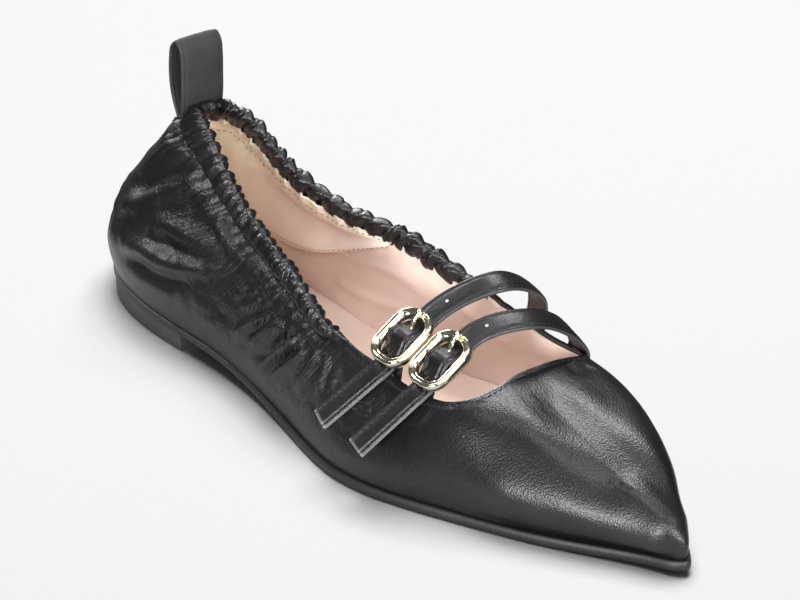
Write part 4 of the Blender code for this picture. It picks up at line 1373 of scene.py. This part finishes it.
# Stage, with places and sizes in metres
FLOOR_HALF = 4.0
MIRRORED_FLOOR = 0.045
LIGHT_DISTANCE = 1.8
LIGHT_AIM = (0.10, 0.0, 0.03)
CAMERA_PLACE = (1.0450, -0.7390, 0.6323)
CAMERA_AIM = (0.08347, 0.01773, 0.025)
CAMERA_LENS = 201.6


def add_floor(name, corners, faces, material):
    mesh = bpy.data.meshes.new(name)
    mesh.from_pydata(corners, [], faces)
    mesh.materials.append(material)
    floor = bpy.data.objects.new(name, mesh)
    bpy.context.scene.collection.objects.link(floor)
    return floor


def add_stage():
    """The floor; the leather mirrors only the part of it next to the shoe."""
    paper = paper_floor("pale_floor")
    corners = [(x * FLOOR_HALF, y * FLOOR_HALF, 0.0) for x, y in ((-1, -1), (1, -1), (1, 1), (-1, 1))]
    wide = add_floor("floor", corners, [(0, 1, 2, 3)], paper)
    wide.visible_glossy = False
    count = 240
    places = np.arange(count) / count * ROUND
    plans = [outline(places, np.full(count, inset)) for inset in (1.0, -MIRRORED_FLOOR / MM)]
    ring = np.column_stack([np.concatenate(plans), np.full(2 * count, 0.05)])
    corners = ((ring - (HEEL_CENTRE, 0.0, 0.0)) * MM).tolist()
    pairs = [(index, (index + 1) % count) for index in range(count)]
    faces = [(first, count + first, count + second, second) for first, second in pairs]
    near = add_floor("floor_beside_shoe", corners, faces, paper)
    near.visible_camera = False
    near.visible_diffuse = False
    near.visible_shadow = False
    return [wide, near]


def add_softbox(name, azimuth, elevation, size, power):
    """A soft area light that faces the shoe; azimuth 0 is on the lateral side and 90 ahead of the toe."""
    light = bpy.data.lights.new(name, "AREA")
    light.shape = "RECTANGLE"
    light.size, light.size_y = size
    light.energy = power
    obj = bpy.data.objects.new(name, light)
    turn, rise = math.radians(azimuth), math.radians(elevation)
    back = np.array((math.sin(turn) * math.cos(rise), -math.cos(turn) * math.cos(rise), math.sin(rise)))
    obj.location = LIGHT_AIM + back * LIGHT_DISTANCE
    obj.rotation_mode = "QUATERNION"
    obj.rotation_quaternion = Vector(-back).to_track_quat("-Z", "Y")
    bpy.context.scene.collection.objects.link(obj)
    return obj


def link_lights(lights, floors, state):
    """Has these lights leave the floor out or light it alone, so that its shadow stays soft."""
    members = bpy.data.collections.new("floor_" + state.lower())
    for floor in floors:
        members.objects.link(floor)
    for member in members.collection_objects:
        member.light_linking.link_state = state
    for light in lights:
        light.light_linking.receiver_collection = members


def add_camera():
    camera = bpy.data.cameras.new("camera")
    camera.sensor_width = 36.0
    camera.lens = CAMERA_LENS
    camera.clip_start, camera.clip_end = 0.05, 30.0
    obj = bpy.data.objects.new("camera", camera)
    obj.location = CAMERA_PLACE
    obj.rotation_mode = "QUATERNION"
    obj.rotation_quaternion = (Vector(CAMERA_AIM) - Vector(CAMERA_PLACE)).to_track_quat("-Z", "Y")
    bpy.context.scene.collection.objects.link(obj)
    bpy.context.scene.camera = obj


def add_world(strength):
    """A faint even light from all round."""
    world = bpy.data.worlds.new("studio")
    world.use_nodes = True
    background = world.node_tree.nodes["Background"]
    background.inputs["Color"].default_value = (1.0, 1.0, 1.0, 1.0)
    background.inputs["Strength"].default_value = strength
    bpy.context.scene.world = world


add_upper()
add_side_lining()
lining_rows = add_heel_lining()
add_collar()
leather_rows = [throat_row(), seam_row()]
for row in STRAPS:
    strap = dict(zip(STRAP_COLUMNS, row))
    leather_rows += add_strap(strap)
    add_buckle(strap)
    add_prong(strap)
    add_chape(strap)
add_loop()
leather_rows += add_back_strip()
add_outsole()
add_heel()
add_sock()
add_stitches(
    "leather_stitches", leather_rows, STITCH_PITCH, STITCH_LENGTH, THREAD, BLACK_THREAD
)
add_stitches("lining_stitches", lining_rows, 2.2, 1.4, 0.36, PALE_THREAD)

floors = add_stage()
add_softbox("top_softbox", 40.0, 76.0, (0.6, 0.6), 8.0)
shoe_lights = [
    add_softbox("back_softbox", -139.0, 60.0, (0.4, 0.42), 17.0),
    add_softbox("inner_softbox", 124.0, 52.0, (0.6, 0.6), 7.0),
    add_softbox("left_softbox", -74.0, 42.0, (0.4, 0.4), 12.0),
    add_softbox("rim_softbox", -112.0, 22.0, (0.5, 0.5), 16.0),
    add_softbox("near_softbox", 46.0, 30.0, (0.5, 0.5), 14.0),
    add_softbox("low_softbox", 22.0, 7.0, (0.4, 0.3), 30.0),
    add_softbox("front_softbox", 84.0, 16.0, (0.7, 0.6), 28.0),
]
floor_light = add_softbox("floor_softbox", -139.0, 74.0, (1.2, 1.2), 32.4)
link_lights(shoe_lights, floors, "EXCLUDE")
link_lights([floor_light], floors, "INCLUDE")
add_world(0.08)
bpy.context.scene.view_settings.view_transform = "Standard"
add_camera()
